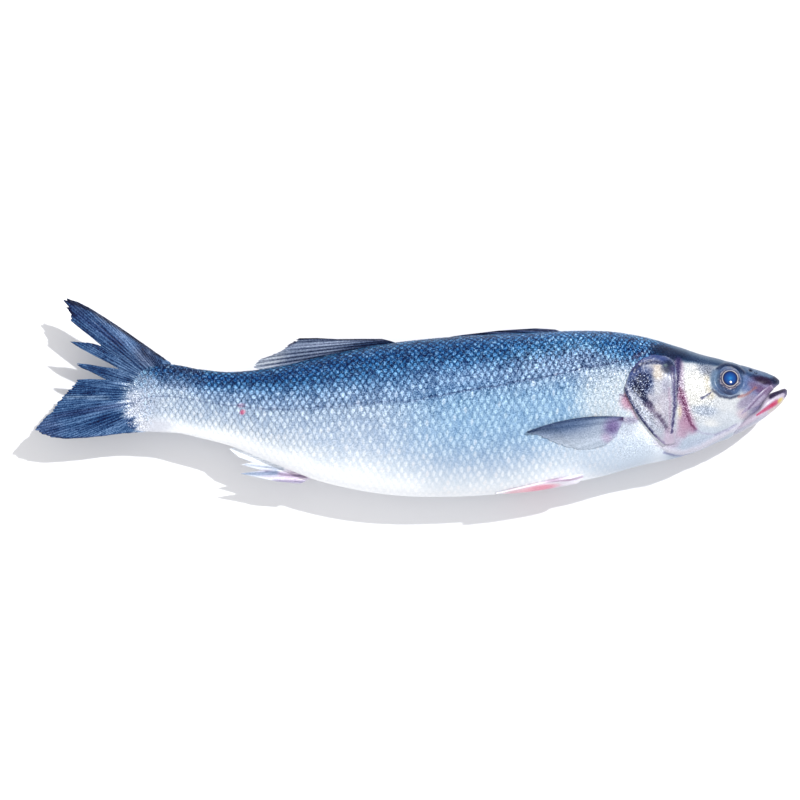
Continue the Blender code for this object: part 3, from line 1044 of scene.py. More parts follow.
    def _fin(self) -> bpy.types.Material:
        """A thin fin: fine forked rays over a darker web."""
        made, board, shader = WetFinish(0.45, 0.05, 0.2, 0.1).start("Fin")
        ray = board.carried("ray")
        line, joint = self._group(board, self.rays, ray).outputs
        _, _, breadth = board.split(ray)
        line = board.math("POWER", line, breadth)
        glint, fleckiness, streaky = board.split(board.carried("lustre"))
        flecks = self._group(board, self.speckles, board.place(), fleckiness)
        colour = board.mix(line, board.carried("gap", "Color"), board.carried("face", "Color"))
        stretched = board.vector_math("MULTIPLY", ray, (1.9, 5.0, 1.0))
        streak = board.math("SUBTRACT", board.noise(1000.0, 3.0, stretched.outputs[0]), 0.5)
        swath = board.math("SUBTRACT", board.noise(4200.0, 1.0, stretched.outputs[0]), 0.5)
        streak = board.math("MULTIPLY_ADD", swath, 1.5, streak)
        colour = self._tinted(board, colour, board.math("MULTIPLY_ADD", joint, -0.12, 1.0))
        # Painted glints on flecks, on the tail's pale sheath.
        bright = board.math("MULTIPLY", flecks.outputs["Fleck"], glint, clamp=True)
        colour = board.mix(bright, colour, shade((236, 242, 252)))
        grain = board.math("MULTIPLY_ADD", streak, streaky, flecks.outputs["Grain"])
        colour = self._grained(board, colour, grain)
        board.feed(shader.inputs["Base Color"], colour)
        board.feed(shader.inputs["Roughness"], board.math("MULTIPLY_ADD", line, -0.1, 0.5))
        board.feed(shader.inputs["Normal"], self._raised(board, line, 0.4, 0.12))
        return made

    def _eye(self) -> bpy.types.Material:
        """A clear wet eye: a blue pupil lit by a painted highlight, a bright ring and a mottled silver iris.
        """
        made, board, shader = WetFinish(0.10, 0.55, 0.03, 0.10).start("Eye")
        out_from, _, _ = board.split(board.carried("iris"))
        place = board.place()
        wobble = board.math("SUBTRACT", board.noise(1.7, 3.0, place), 0.5)
        radius = board.math("MULTIPLY_ADD", wobble, board.rise(out_from, 3.1, 4.1, 0.1, 1.8), out_from)
        ramp = board.node("ShaderNodeValToRGB")
        elements = ramp.color_ramp.elements
        while len(elements) < len(IRIS_COLOURS):
            elements.new(0.5)
        for element, (where, colour) in zip(elements, IRIS_COLOURS):
            element.position = where / IRIS_REACH
            element.color = shade(colour)
        board.feed(ramp.inputs[0], board.math("DIVIDE", radius, IRIS_REACH))
        mottle = board.noise(0.9, 2.0, place)
        dark = board.math("MULTIPLY", board.rise(mottle, 0.47, 0.60), board.rise(out_from, 3.4, 3.7))
        pale = board.math("MULTIPLY", board.rise(mottle, 0.42, 0.34), board.rise(out_from, 3.8, 4.2))
        colour = board.mix(board.math("MULTIPLY", dark, 0.75), ramp.outputs[0], shade((44, 50, 84)))
        colour = board.mix(board.math("MULTIPLY", pale, 0.6), colour, shade((190, 194, 214)))
        colour = board.mix(board.carried("tint", "Alpha"), colour, board.carried("tint", "Color"))
        board.feed(shader.inputs["Base Color"], colour)
        return made


# Skin colours from the back, at 0, to the belly, at 1: the mean, and how far scales and gaps lie from it.
SKIN_COLOURS: Table = (
    # The lighter first row is a painted sheen along the back's outline.
    (0.00, 36, 84, 128),
    (0.05, 0, 54, 114),
    (0.12, 0, 56, 118),
    (0.20, 58, 112, 170),
    (0.30, 130, 164, 208),
    (0.38, 142, 172, 212),
    (0.46, 178, 202, 232),
    (0.56, 194, 214, 240),
    (0.66, 213, 229, 250),
    # Painted light: from here the belly's paint goes over 255 to make up for the shade on its downturned
    # side.
    (0.76, 246, 256, 268),
    (0.85, 284, 288, 294),
    (1.00, 306, 308, 312),
)
SCALE_CONTRAST: Table = (
    (0.00, 24, 46, 54),
    (0.12, 26, 52, 60),
    (0.22, 56, 60, 57),
    (0.30, 52, 52, 48),
    (0.46, 35, 32, 27),
    (0.56, 27, 24, 17),
    (0.66, 22, 18, 12),
    (0.76, 17, 13, 9),
    (0.86, 10, 8, 6),
    (1.00, 5, 5, 5),
)


def by_depth(table: Table, share: np.ndarray) -> np.ndarray:
    """Display colours at shares of the way from the back to the belly."""
    places = [row[0] for row in table]
    return np.stack([np.interp(share, places, [row[i] for row in table]) for i in (1, 2, 3)], axis=1)


# The middle of the eye and of its pupil, and the eyeball's radius, half depth and height over the skin.
EYE_X, EYE_Y = 135.0, 7.5
PUPIL_X, PUPIL_Y = 135.3, 8.1
EYE_RADIUS, EYE_DEPTH, EYE_PROUD = 7.3, 4.5, 1.5

ORBIT_LAYERS: tuple[Layer, ...] = (
    Wash(129.4, 7.6, 2.6, 5.0, (104, 130, 160), 0.75, turn=-10),
    Wash(141.0, 8.2, 2.6, 4.6, (84, 112, 162), 0.75, turn=-10),
    Wash(133.6, 1.6, 4.6, 1.9, (38, 50, 88), 0.8, turn=-10),
    Wash(136.6, 13.6, 4.6, 1.5, (28, 42, 78), 0.8, turn=-12),
)

TRUNK_LAYERS: tuple[Layer, ...] = (
    Wash(88, -1, 25, 22, (219, 233, 246), 0.85),
    Wash(86, -24, 34, 15, (216, 232, 252), 0.9),
    Wash(92, -1.6, 5.0, 5.0, (216, 158, 184), 0.75),
    Stroke(((90.6, 1.2), (92.0, -2.0), (95.5, -8.5)), 1.4, (186, 126, 160), 0.5, edge=0.9),
    Stroke(((88.6, 1.0), (91.4, 0.2)), 0.7, (70, 60, 96), 0.7),
    Wash(92, -9.8, 6.5, 2.2, (150, 140, 176), 0.7),
    Wash(91, -13, 6, 4.5, (196, 206, 228), 0.5),
    Wash(-70.9, -6.2, 1.7, 1.5, (224, 96, 142), 0.9),
    Wash(-71.5, -3.4, 2.6, 1.3, (214, 140, 176), 0.45),
    Wash(-120, -3, 19, 15, (204, 214, 236), 0.85),
    Wash(-110, -12, 15, 4.5, (232, 236, 250), 0.85),
    Wash(-98, 7.6, 16, 5.2, (84, 104, 142), 0.5, turn=-4),
    Wash(-112, 7.6, 9.0, 6.4, (204, 214, 236), 0.6, turn=-24, edge=0.9),
    Stroke(((-119, 19.0), (-109, 14.6), (-99, 12.4), (-88, 10.4)), 3.4, (34, 52, 92), 0.85, 1.6, 0.9),
    Wash(97.0, 18.0, 5, 1.8, (70, 50, 88), 0.6, turn=24),
    Wash(106, 19.5, 8, 4.0, (10, 36, 72), 0.7, turn=-8),
)

HEAD_LAYERS: tuple[Layer, ...] = (
    Wash(110, 19.0, 12, 3.6, (8, 32, 66), 0.8, turn=-14),
    Wash(110.6, 15.6, 4.2, 4.6, (26, 38, 74), 0.8, turn=-30),
    Wash(120, 3, 9, 13, (250, 249, 244), 0.8),
    Wash(124.4, -5.6, 9, 3.4, (176, 190, 214), 0.7, turn=-6),
    Wash(127.6, -10.8, 5.4, 2.2, (250, 251, 252), 0.8),
    Wash(134, -9, 8, 5, (222, 230, 242), 0.6),
    Stroke(((125.6, 10.4), (125.8, 5.0), (127.4, 0.6)), 2.6, (210, 196, 166), 0.5, edge=0.9),
    Wash(126, 11.6, 6.5, 3.8, (112, 122, 146), 0.75, turn=-24),
    Wash(143.4, 5.4, 7.4, 5.6, (98, 116, 168), 0.85, turn=-22),
    Wash(134.4, 6.9, 8.7, 7.7, (76, 106, 152), 0.95, edge=0.35, lift=-0.15),
    Wash(128.6, 8.0, 2.8, 5.6, (112, 138, 168), 0.75, turn=-14),
    Wash(141.6, 6.6, 2.4, 4.6, (90, 116, 166), 0.7, turn=-14),
    Wash(132.6, 3.0, 4.4, 2.4, (44, 60, 102), 0.6, turn=-20),
    Stroke(
        ((130.2, 12.0), (133.8, 13.4), (138.4, 12.4), (141.2, 10.2)),
        1.5, (20, 34, 68), 0.8, edge=0.9, lift=0.3,
    ),
    Stroke(
        ((127.9, 3.2), (130.6, 0.7), (135.0, -0.3), (139.0, 0.9)),
        1.0, (34, 44, 76), 0.7, edge=0.9, lift=0.2,
    ),
    Wash(147.2, 10.3, 10.0, 2.1, (106, 126, 162), 0.8, turn=-17, edge=0.9),
    Wash(149.6, 7.3, 7.4, 2.3, (44, 26, 58), 0.95, turn=-14),
    Wash(147.0, 4.2, 6.4, 2.8, (110, 84, 126), 0.85, turn=-28),
    Wash(142.0, -1.8, 6.5, 3.2, (150, 140, 172), 0.75, turn=36),
    Stroke(((139.0, 0.2), (142.5, 1.5), (146.2, 4.2)), 1.1, (168, 112, 114), 0.7, edge=0.9),
    Wash(154.8, 7.4, 3.0, 2.2, (20, 26, 58), 0.85),
    Stroke(((123.2, -0.2), (124.8, 0.6), (127.4, 2.2)), 1.1, (90, 92, 128), 0.85, end_width=0.5),
    Wash(140.6, -7.0, 3.6, 3.0, (214, 190, 208), 0.6),
    Stroke(
        ((113.6, 14.6), (113.7, 8.0), (114.0, 2.0), (115.6, -6.0), (115.4, -15.0)), 3.6, (182, 162, 190), 0.75
    ),
    Stroke(
        ((113.4, 16.0), (113.0, 11.0), (112.2, 4.0), (111.7, -4.0), (110.6, -14.6)), 2.3, (52, 46, 96), 0.9,
        end_width=1.0, edge=0.8, lift=-0.5,
    ),
    Wash(114.0, -6.0, 1.5, 4.6, (244, 232, 204), 0.75),
    Wash(116.0, -11.4, 5.4, 6.4, (200, 158, 186), 0.8, edge=0.9),
    Wash(113.6, -15.6, 4.6, 4.0, (208, 178, 204), 0.7, edge=0.9),
    Stroke(
        ((114.4, 1.0), (116.2, -5.0), (118.0, -10.0), (119.6, -13.4)), 3.2, (170, 118, 156), 0.7, edge=1.0
    ),
    Stroke(
        ((113.9, 3.6), (115.6, -2.0), (117.2, -7.0), (118.6, -11.0), (120.8, -13.6)),
        1.5, (112, 56, 96), 0.85, end_width=0.8, edge=0.95, lift=0.25,
    ),
    Stroke(
        ((120.6, -13.8), (124.0, -15.2), (129.0, -15.6)),
        1.1, (184, 180, 212), 0.5, end_width=0.4, edge=0.95,
    ),
    Wash(110.6, -19.4, 5.4, 3.4, (214, 196, 222), 0.7),
    Wash(125, -19.4, 13, 4.0, (206, 217, 240), 0.75, turn=10),
    # The fold of the gill membrane under the throat: a painted highlight along it, and painted shade in the
    # groove beneath.
    Stroke(
        ((104.0, -19.0), (109.5, -22.4), (115.5, -23.2), (123.0, -21.0), (132.0, -15.8), (140.4, -11.4)),
        2.2, (238, 236, 253), 0.92, edge=0.8, lift=0.35,
    ),
    Stroke(
        ((107.6, -23.4), (113.0, -24.8), (120.0, -24.0), (126.0, -21.8)),
        1.0, (152, 156, 202), 0.8, end_width=0.6, edge=0.9, lift=-0.25,
    ),
    Stroke(((129.0, -15.9), (134.2, -13.6), (137.8, -11.4)), 0.9, (170, 168, 202), 0.6, edge=0.9, lift=-0.2),
    Wash(118, -26.0, 13, 2.4, (176, 194, 226), 0.7, turn=8),
    # The nostrils: pits painted dark as the shade in them.
    Wash(144.2, 11.6, 1.2, 0.7, (16, 22, 48), 0.8, turn=-20, lift=-0.7),
    Wash(146.4, 10.5, 1.0, 0.6, (16, 22, 48), 0.7, turn=-20, lift=-0.8),
)

GILL_ARC = Stroke(
    ((93.4, 10.6), (95.6, 14.0), (99.4, 16.8), (104.6, 17.2), (108.6, 14.8), (110.6, 11.6)),
    3.6, (62, 80, 138), 0.95, edge=0.8, lift=0.12,
)
GILL_LAYERS: tuple[Layer, ...] = (
    Wash(103, -2, 9, 13, (196, 196, 212), 0.8),
    Wash(106.4, -9.0, 3.6, 6.0, (176, 170, 192), 0.5, turn=-40, edge=1.0),
    Wash(100.2, -7.4, 2.2, 5.0, (206, 214, 230), 0.6, turn=40, edge=1.0),
    Wash(104.4, 10.6, 4.6, 5.2, (228, 214, 196), 0.75, lift=0.25),
    Wash(107.6, -3.0, 4.6, 10, (214, 208, 222), 0.6),
    Wash(103.6, 3.6, 4.0, 4.0, (224, 228, 236), 0.6),
    Wash(96.8, 7.8, 7.4, 7.2, (46, 66, 122), 0.92, edge=0.6, lift=-0.15),
    Wash(97.2, 5.8, 6.6, 6.2, (10, 30, 82), 0.92, edge=0.6, lift=-0.2),
    Wash(102.0, 2.4, 2.0, 2.6, (120, 128, 160), 0.6, edge=0.9),
    Wash(94.0, 9.0, 2.6, 3.0, (128, 142, 182), 0.5),
    Stroke(((95.2, 4.0), (98.0, 0.6), (100.8, -3.2)), 3.2, (14, 24, 66), 0.95, end_width=2.2, lift=-0.3),
    Stroke(
        ((100.4, -2.8), (103.6, -6.4), (107.2, -10.8), (109.0, -14.8)),
        2.6, (104, 92, 122), 0.85, end_width=1.2, edge=0.95, lift=-0.25,
    ),
    Stroke(
        ((93.8, 0.2), (98.4, -6.6), (103.4, -12.4), (107.0, -16.0)),
        2.6, (192, 200, 218), 0.7, end_width=1.6,
    ),
    Wash(109.6, -16.8, 4.4, 6.0, (214, 196, 220), 0.85, edge=0.8),
    Stroke(
        ((90.6, 3.4), (92.2, -0.4), (94.4, -4.2), (97.0, -8.2), (100.2, -12.2), (103.8, -16.2)),
        1.7, (44, 48, 92), 0.85, end_width=1.0, edge=0.8, lift=0.2,
    ),
    Stroke(
        ((103.4, -15.8), (106.0, -18.0), (108.6, -19.6)),
        1.1, (128, 112, 156), 0.6, end_width=0.6, edge=0.95,
    ),
    GILL_ARC,
    Stroke(((93.2, 12.0), (96.0, 15.6), (100.0, 18.0)), 1.8, (84, 60, 106), 0.85, edge=0.8),
    Stroke(
        ((94.4, 11.0), (97.4, 13.6), (101.8, 14.8), (106.6, 14.2)),
        1.3, (30, 40, 82), 0.8, edge=0.9, lift=-0.1,
    ),
    Wash(109.0, 12.8, 3.6, 4.6, (24, 36, 70), 0.92, turn=-30),
    Wash(107.8, 13.4, 1.2, 1.1, (150, 174, 166), 0.55),
    Stroke(
        ((110.6, 12.4), (111.4, 6.0), (111.6, -4.0), (110.4, -15.0)),
        2.0, (64, 58, 108), 0.8, 0.8, 0.8, -0.15,
    ),
    Stroke(((109.2, 4.0), (109.8, -4.0), (109.4, -13.0)), 1.2, (178, 150, 178), 0.5, edge=0.95),
    Wash(107.6, 4.6, 2.6, 5.0, (150, 150, 176), 0.5, edge=1.0),
    Wash(104.4, -4.6, 3.0, 4.0, (236, 232, 236), 0.5, edge=1.0),
    Wash(101.6, 11.4, 2.6, 2.2, (120, 128, 168), 0.55, edge=1.0),
)

MAXILLA_LAYERS: tuple[Layer, ...] = (
    Stroke(
        ((152.6, 4.6), (147.6, 0.4), (143.2, -4.4)),
        0.9, (112, 92, 132), 0.7, end_width=0.6, edge=0.9, lift=0.1,
    ),
    Stroke(((151.6, 1.0), (147.4, -2.8), (143.8, -6.4)), 0.7, (150, 132, 166), 0.6, edge=0.9),
    Wash(141.4, -8.2, 3.6, 3.0, (226, 208, 222), 0.7),
    Wash(151.6, 3.2, 3.4, 2.2, (134, 108, 148), 0.7, turn=44),
)

JAW_LAYERS: tuple[Layer, ...] = (
    Stroke(((153.0, 0.2), (156.0, 2.0), (159.6, 3.0)), 2.0, (44, 34, 66), 0.92),
    Wash(159.2, 1.6, 1.8, 2.2, (74, 66, 104), 0.8),
    Stroke(((150.6, -2.8), (154.6, -0.4), (158.2, 1.2)), 1.5, (222, 212, 232), 0.8),
    Stroke(((146.8, -7.4), (151.6, -4.4), (155.4, -2.2)), 0.8, (206, 90, 130), 0.95, 2.5, 0.6, -0.2),
    Wash(153.4, -3.2, 2.4, 0.9, (216, 66, 104), 0.7, turn=32),
    Wash(157.0, -1.4, 2.2, 1.5, (232, 206, 110), 0.9, turn=50),
    Stroke(((152.0, -6.4), (155.6, -3.8), (158.2, -1.2)), 1.2, (232, 218, 206), 0.7),
    Stroke(((137.6, -15.0), (143.6, -12.4), (149.0, -9.0)), 1.8, (196, 204, 226), 0.7),
)


def tail_sheath(x: np.ndarray, y: np.ndarray) -> np.ndarray:
    """How far the pale scaly skin of the tail's root covers each place, in streaks along the rays."""
    out = np.hypot(x - TAIL_APEX[0], y - TAIL_APEX[1])
    turn = np.degrees(np.arctan2(y - TAIL_APEX[1], -(x - TAIL_APEX[0])))
    points = np.stack([turn * 0.35, out * 0.12, 0 * x], axis=1)
    reach = 21.8 + 4.0 * ruffle(points, 1.0, 31.0) - 0.22 * np.maximum(turn - 8.0, 0.0)
    return smooth(out - reach, 3.0, -3.0) * smooth(turn, 54.0, 28.0)


@dataclass
class BodySkin:
    """The trunk's scaled skin and the head's bare skin, which run on into each other at a seam."""

    finishes: Finishes
    seam: float = 106.0
    segments: int = 210
    right_share: float = 0.70

    def __post_init__(self) -> None:
        """Measures the way round the body from the back, at places along it."""
        self.pattern = ScalePattern()
        self.places = np.linspace(BODY.start, BODY.end, 110)
        self.angles = np.linspace(0.0, math.pi, 241)
        grid_x = np.repeat(self.places, len(self.angles))
        points = BODY.skin(grid_x, np.tile(self.angles, len(self.places)))
        points = points.reshape(len(self.places), len(self.angles), 3)
        steps = np.linalg.norm(np.diff(points[:, :, 1:], axis=1), axis=2)
        self.girth = np.concatenate([np.zeros((len(self.places), 1)), np.cumsum(steps, axis=1)], axis=1)

    def around(self, share: np.ndarray) -> np.ndarray:
        """The angles round the body for even steps, which are closer on the right side."""
        right = share < self.right_share
        part = np.where(right, share / self.right_share, (share - self.right_share) / (1 - self.right_share))
        swing = math.pi * part + 0.154 * np.sin(2 * math.pi * part)
        return np.where(right, swing, swing - math.pi * 2 + math.pi)

    def girth_at(self, x: np.ndarray, angle: np.ndarray) -> np.ndarray:
        """The distance round the side from the back, at a place and an angle."""
        step_x, step_angle = self.places[1] - self.places[0], self.angles[1] - self.angles[0]
        across = np.clip((x - self.places[0]) / step_x, 0, len(self.places) - 1.001)
        around = np.clip(np.abs(angle) / step_angle, 0, len(self.angles) - 1.001)
        i, j = across.astype(int), around.astype(int)
        s, t = across - i, around - j
        low = self.girth[i, j] * (1 - t) + self.girth[i, j + 1] * t
        high = self.girth[i + 1, j] * (1 - t) + self.girth[i + 1, j + 1] * t
        return low * (1 - s) + high * s

    def rows(self, x: np.ndarray, angle: np.ndarray) -> tuple[np.ndarray, np.ndarray]:
        """The scale rows' own measure: scales along the fish, and rows up and down from the lateral line."""
        upper, lower = BODY.upper.at(x), BODY.lower.at(x)
        line_y = upper - Curve(LATERAL_LINE).at(x) * (upper - lower)
        away = self.girth_at(x, angle) - self.girth_at(x, BODY.flank_angle(x, line_y))
        height = np.interp(x, (-115, -80, -30, 20, 80, 110), (2.05, 2.2, 2.6, 2.85, 2.7, 2.3))
        above = np.maximum(-away, 0.0)
        row = np.where(away < 0, -(above + above * above / 55.0), away) / height
        return x / np.interp(x, (-115, -40, 60, 110), (2.8, 2.97, 2.9, 2.5)), row

    def trunk(self) -> bpy.types.Object:
        """The skin from the tail's root to the gill covers."""
        ends = ((0.0, 0.012, 0.05, 1.0), (SHEATHED.start, -122.4, -117.0, self.seam))
        return self.dressed("trunk_skin", SHEATHED, 440, ends)

    def head(self) -> bpy.types.Object:
        """The skin of the head, with the eye sockets and the folds of the cheek."""
        ends = ((0.0, 0.45, 0.85, 0.95, 1.0), (self.seam, 126.0, 147.0, 153.4, BODY.end))
        return self.dressed("head_skin", HEAD, 220, ends)

    def dressed(self, name: str, form: FishForm, along: int, ends: Table) -> bpy.types.Object:
        """Shapes and dresses a length of the body.

        Args:
            name: The piece's name.
            form: The form that it follows.
            along: How many segments long it is.
            ends: Shares of the length, and the places along the fish that they stand for.

        Returns:
            The finished object.
        """
        bm = Blank.tube(self.segments, along)
        given = Blank.parameters(bm)
        share = np.mod(np.arctan2(given[:, 1], given[:, 0]) / (2 * math.pi), 1.0)
        angle = self.around(share)
        x = np.interp(given[:, 2] + 0.5, *ends)
        flat = form.skin(x, angle)
        y = flat[:, 1]
        u, row = self.rows(x, angle)
        u, row = u + 0.24 * ruffle(flat, 8.0, 1.0), row + 0.26 * ruffle(flat, 9.0, 2.0)
        off_line = np.abs(row + 0.25 * ruffle(flat, 2.2, 7.0))
        line = (1.0 - smooth(off_line, 0.05, 0.22)) * (1.0 - smooth(x, 94.0, 99.0))
        cover = self.cover(x, y)
        lift = 0.26 * (self.pattern.height(u, row) - 0.45) * cover * smooth(x, -122.0, -110.0) - 0.10 * line
        lift = lift * (1.0 - 0.7 * smooth(BODY.depth_share(x, y), 0.97, 1.0))
        lift = lift + relief(x, y, TRUNK_LAYERS) + self.head_relief(x, y, flat)
        face, gap = self.colours(x, y, row, flat)
        ink = line * (0.34 + 0.46 * smooth(x, -30.0, 50.0)) * (0.85 + 0.5 * ruffle(flat, 2.6, 5.0))
        face += (np.array((62, 80, 124)) - face) * ink[:, None]
        gap += (np.array((44, 62, 108)) - gap) * ink[:, None]
        lustre = self.lustre(x, y)
        lustre[:, 0] *= 1.0 - np.minimum(ink, 1.0)
        piece = Piece(name, bm, laid(form.skin(x, angle, lift)), self.finishes.skin, "skin", ("body",))
        return piece.make(
            {"face": face, "gap": gap},
            {"rows": np.stack([u, row, cover], axis=1), "lustre": lustre},
        )

    def cover(self, x: np.ndarray, y: np.ndarray) -> np.ndarray:
        """How far the skin has scales that show: none on the head, and faint ones on the belly."""
        front = np.interp(y, (-30.0, -15.0, 8.0, 16.0, 22.0), (88.0, 92.0, 98.0, 103.0, 111.0))
        scaled = 1.0 - smooth(x - front, -6.0, 4.0)
        root = smooth(x + 0.9 * np.maximum(y - 4.0, 0.0), -121.0, -104.0)
        return scaled * (1.0 - 0.5 * smooth(BODY.depth_share(x, y), 0.86, 0.98)) * root

    def head_relief(self, x: np.ndarray, y: np.ndarray, flat: np.ndarray) -> np.ndarray:
        """The eye sockets, and the folds and swells of the head."""
        from_eye = np.hypot(x - EYE_X, y - EYE_Y)
        socket = -2.6 * smooth(from_eye, 5.6, 4.6) + 0.40 * smooth(np.abs(from_eye - 6.4), 1.6, 0.2)
        folds = relief(x, y, HEAD_LAYERS) + 0.12 * ruffle(flat, 5.0, 4.0)
        return folds * smooth(x, 106.0, 110.0) + socket * (from_eye < 9)

    def colours(
        self, x: np.ndarray, y: np.ndarray, row: np.ndarray, flat: np.ndarray
    ) -> tuple[np.ndarray, np.ndarray]:
        """The colours of the scales and of the gaps between them."""
        depth = BODY.depth_share(x, y)
        tone = self.toned_depth(x, depth, row, flat)
        mean, swing = by_depth(SKIN_COLOURS, tone), by_depth(SCALE_CONTRAST, tone)
        bluer = smooth(x, -20.0, 25.0) * (1.0 - smooth(x, 66.0, 90.0))
        bluer = bluer * smooth(depth, 0.18, 0.42) * smooth(depth, 0.90, 0.50)
        mean = mean + np.outer(bluer, (-34.0, -15.0, -5.0))
        deeper = smooth(x, -10.0, 45.0) * (1.0 + 0.8 * smooth(x, 55.0, 85.0)) * smooth(depth, 0.06, 0.14)
        rear = smooth(x, -5.0, -45.0) * smooth(depth, 0.03, 0.10) * (1.0 - smooth(depth, 0.15, 0.26))
        deeper = deeper * (1.0 - smooth(depth, 0.36, 0.45)) + rear
        mean = mean - np.outer(deeper, (14.0, 14.0, 12.0))
        crisp = smooth(x, 20.0, 60.0) * (1.0 - smooth(depth, 0.22, 0.38))
        swing = swing * (1.0 + 0.5 * crisp[:, None])
        snout = smooth(x, 139.0, 148.0)[:, None]
        cheek = np.array((228, 232, 238)) + np.outer(smooth(y, -6.0, -20.0), (-22, -11, 4))
        cheek = cheek + (np.array((148, 142, 180)) - cheek) * snout
        # Painted sheen: the dark top of the head is lighter near its upper outline.
        contour_sheen = smooth(BODY.upper.at(x) - y, 3.2, 0.4)
        top = np.array((22, 52, 92)) + np.outer(contour_sheen, (60, 56, 46))
        above = smooth(y - Curve(BROW_LINE).at(x) + 0.6 * ruffle(flat, 3.0, 6.0), -1.0, 1.2)[:, None]
        head = cheek + (top - cheek) * above
        ahead = smooth(x - np.interp(y, (-30.0, 14.0, 22.0), (104.0, 104.0, 108.0)), 0.0, 8.0)[:, None]
        mean = mean + (head - mean) * ahead
        swing = swing * (1.0 - ahead)
        blurred_x, blurred_y = x + 0.32 * ruffle(flat, 1.4, 21.0), y + 0.32 * ruffle(flat, 1.4, 22.0)
        layers = TRUNK_LAYERS + HEAD_LAYERS
        face = painted(mean + swing, blurred_x, blurred_y, layers)
        gap = painted(np.maximum(mean - swing, (0.0, 30.0, 80.0)), blurred_x, blurred_y, layers)
        ray_tone = np.array((62, 92, 142)) + np.outer(smooth(y, 4.0, 12.0), (2, -8, -24))
        bared = (smooth(x, -112.0, -117.0) * (1.0 - tail_sheath(x, y)))[:, None]
        face, gap = face + (ray_tone + 12 - face) * bared, gap + (ray_tone - 12 - gap) * bared
        lower_front = smooth(x, 50.0, 80.0) * (1.0 - smooth(x, 100.0, 106.0)) * smooth(depth, 0.2, 0.4)
        kept = np.outer(lower_front, (9, 6, 3))
        face, gap = face + kept, gap - kept
        return face, np.minimum(face, gap)

    def lustre(self, x: np.ndarray, y: np.ndarray) -> np.ndarray:
        """How strongly painted glints show on the skin, how flecked it is, and how dark the lines between
        scales are.
        """
        depth = BODY.depth_share(x, y)
        head = smooth(x, 108.0, 114.0)
        # Painted glints: high on the back, strongest towards the head, on the tail's root and faintly on the
        # cheek.
        glint = (1.0 - smooth(depth, 0.10, 0.32)) * (0.34 + 0.52 * smooth(x, 0.0, 60.0)) * (1.0 - head)
        glint = glint * smooth(depth, -0.01, 0.04)
        base = 1.0 - smooth(np.hypot(x + 118.0, (y + 1.0) * 0.75), 6.0, 15.0)
        glint = np.maximum(glint, 0.8 * base)
        cheek = head * Wash(121.0, 2.5, 12.0, 15.5, edge=0.45).mask(x, y)
        cheek = cheek * smooth(np.hypot(x - 134.4, y - 6.9), 7.4, 9.0)
        crown = smooth(x + 0.3 * y, 104.0, 111.0) * smooth(y, 14.5, 17.5)
        glint = np.maximum(glint, 0.22 * cheek) * (1.0 - crown)
        places, upper = (0.0, 0.20, 0.32, 0.50, 0.70, 0.85, 1.0), (0.17, 0.18, 0.18, 0.11, 0.075, 0.03, 0.012)
        flecked = np.interp(depth, places, upper)
        flecked = flecked * (1.0 + 0.45 * smooth(x, 20.0, 60.0) * (1.0 - smooth(depth, 0.15, 0.35)))
        flecked = np.maximum(flecked, 0.10 * smooth(x, 80.0, 92.0) * smooth(depth, 0.98, 0.86))
        nape = smooth(x + 0.3 * y, 105.0, 112.0) * smooth(y, 13.0, 16.5)
        flecked = np.maximum(flecked * (1.0 - head) * (1.0 - 0.75 * nape) + 0.05 * head, 0.22 * base)
        flecked = flecked + 0.15 * cheek
        # How dark the lines between scales are: partly painted shade under overlapping edges, darkest on the
        # back and towards the tail.
        lined = (1.0 - smooth(depth, 0.36, 0.66)) * (0.45 + 0.55 * smooth(x, 20.0, -40.0))
        lined = np.maximum(lined, 0.95 * smooth(x, -25.0, -70.0) * (1.0 - smooth(depth, 0.70, 0.90)))
        return np.stack([glint, flecked, lined], axis=1)

    def toned_depth(
        self, x: np.ndarray, depth: np.ndarray, row: np.ndarray, flat: np.ndarray
    ) -> np.ndarray:
        """The depth share that the colours follow: darker low on the middle, lighter by the head and tail."""
        line_share = Curve(LATERAL_LINE).at(x)
        mid = smooth(x, -85.0, -50.0) * (1.0 - smooth(x, 70.0, 92.0))
        beneath = smooth(row, -1.2, 1.0)
        centred = depth + (0.40 - line_share) * (1.0 - smooth(np.abs(depth - line_share), 0.0, 0.45)) * mid
        step = 0.020 * (2.0 * beneath - 0.8) * mid * (1.0 - smooth(np.abs(depth - line_share), 0.05, 0.3))
        low = smooth(depth, 0.44, 0.72) * (1.0 - 0.12 * smooth(depth, 0.74, 0.86))
        low = low * np.exp(-(((x - 32.0) / 44.0) ** 2))
        ahead = smooth(x, 64.0, 92.0) * smooth(depth, 0.20, 0.38)
        behind = 0.09 * smooth(depth, 0.26, 0.42) - 0.13 * smooth(depth, 0.50, 0.72)
        behind = smooth(x, -80.0, -98.0) * behind
        tone = centred + step - 0.17 * low + 0.30 * ahead + behind + 0.03 * ruffle(flat, 16.0, 3.0)
        return np.clip(tone, 0.0, 1.0)


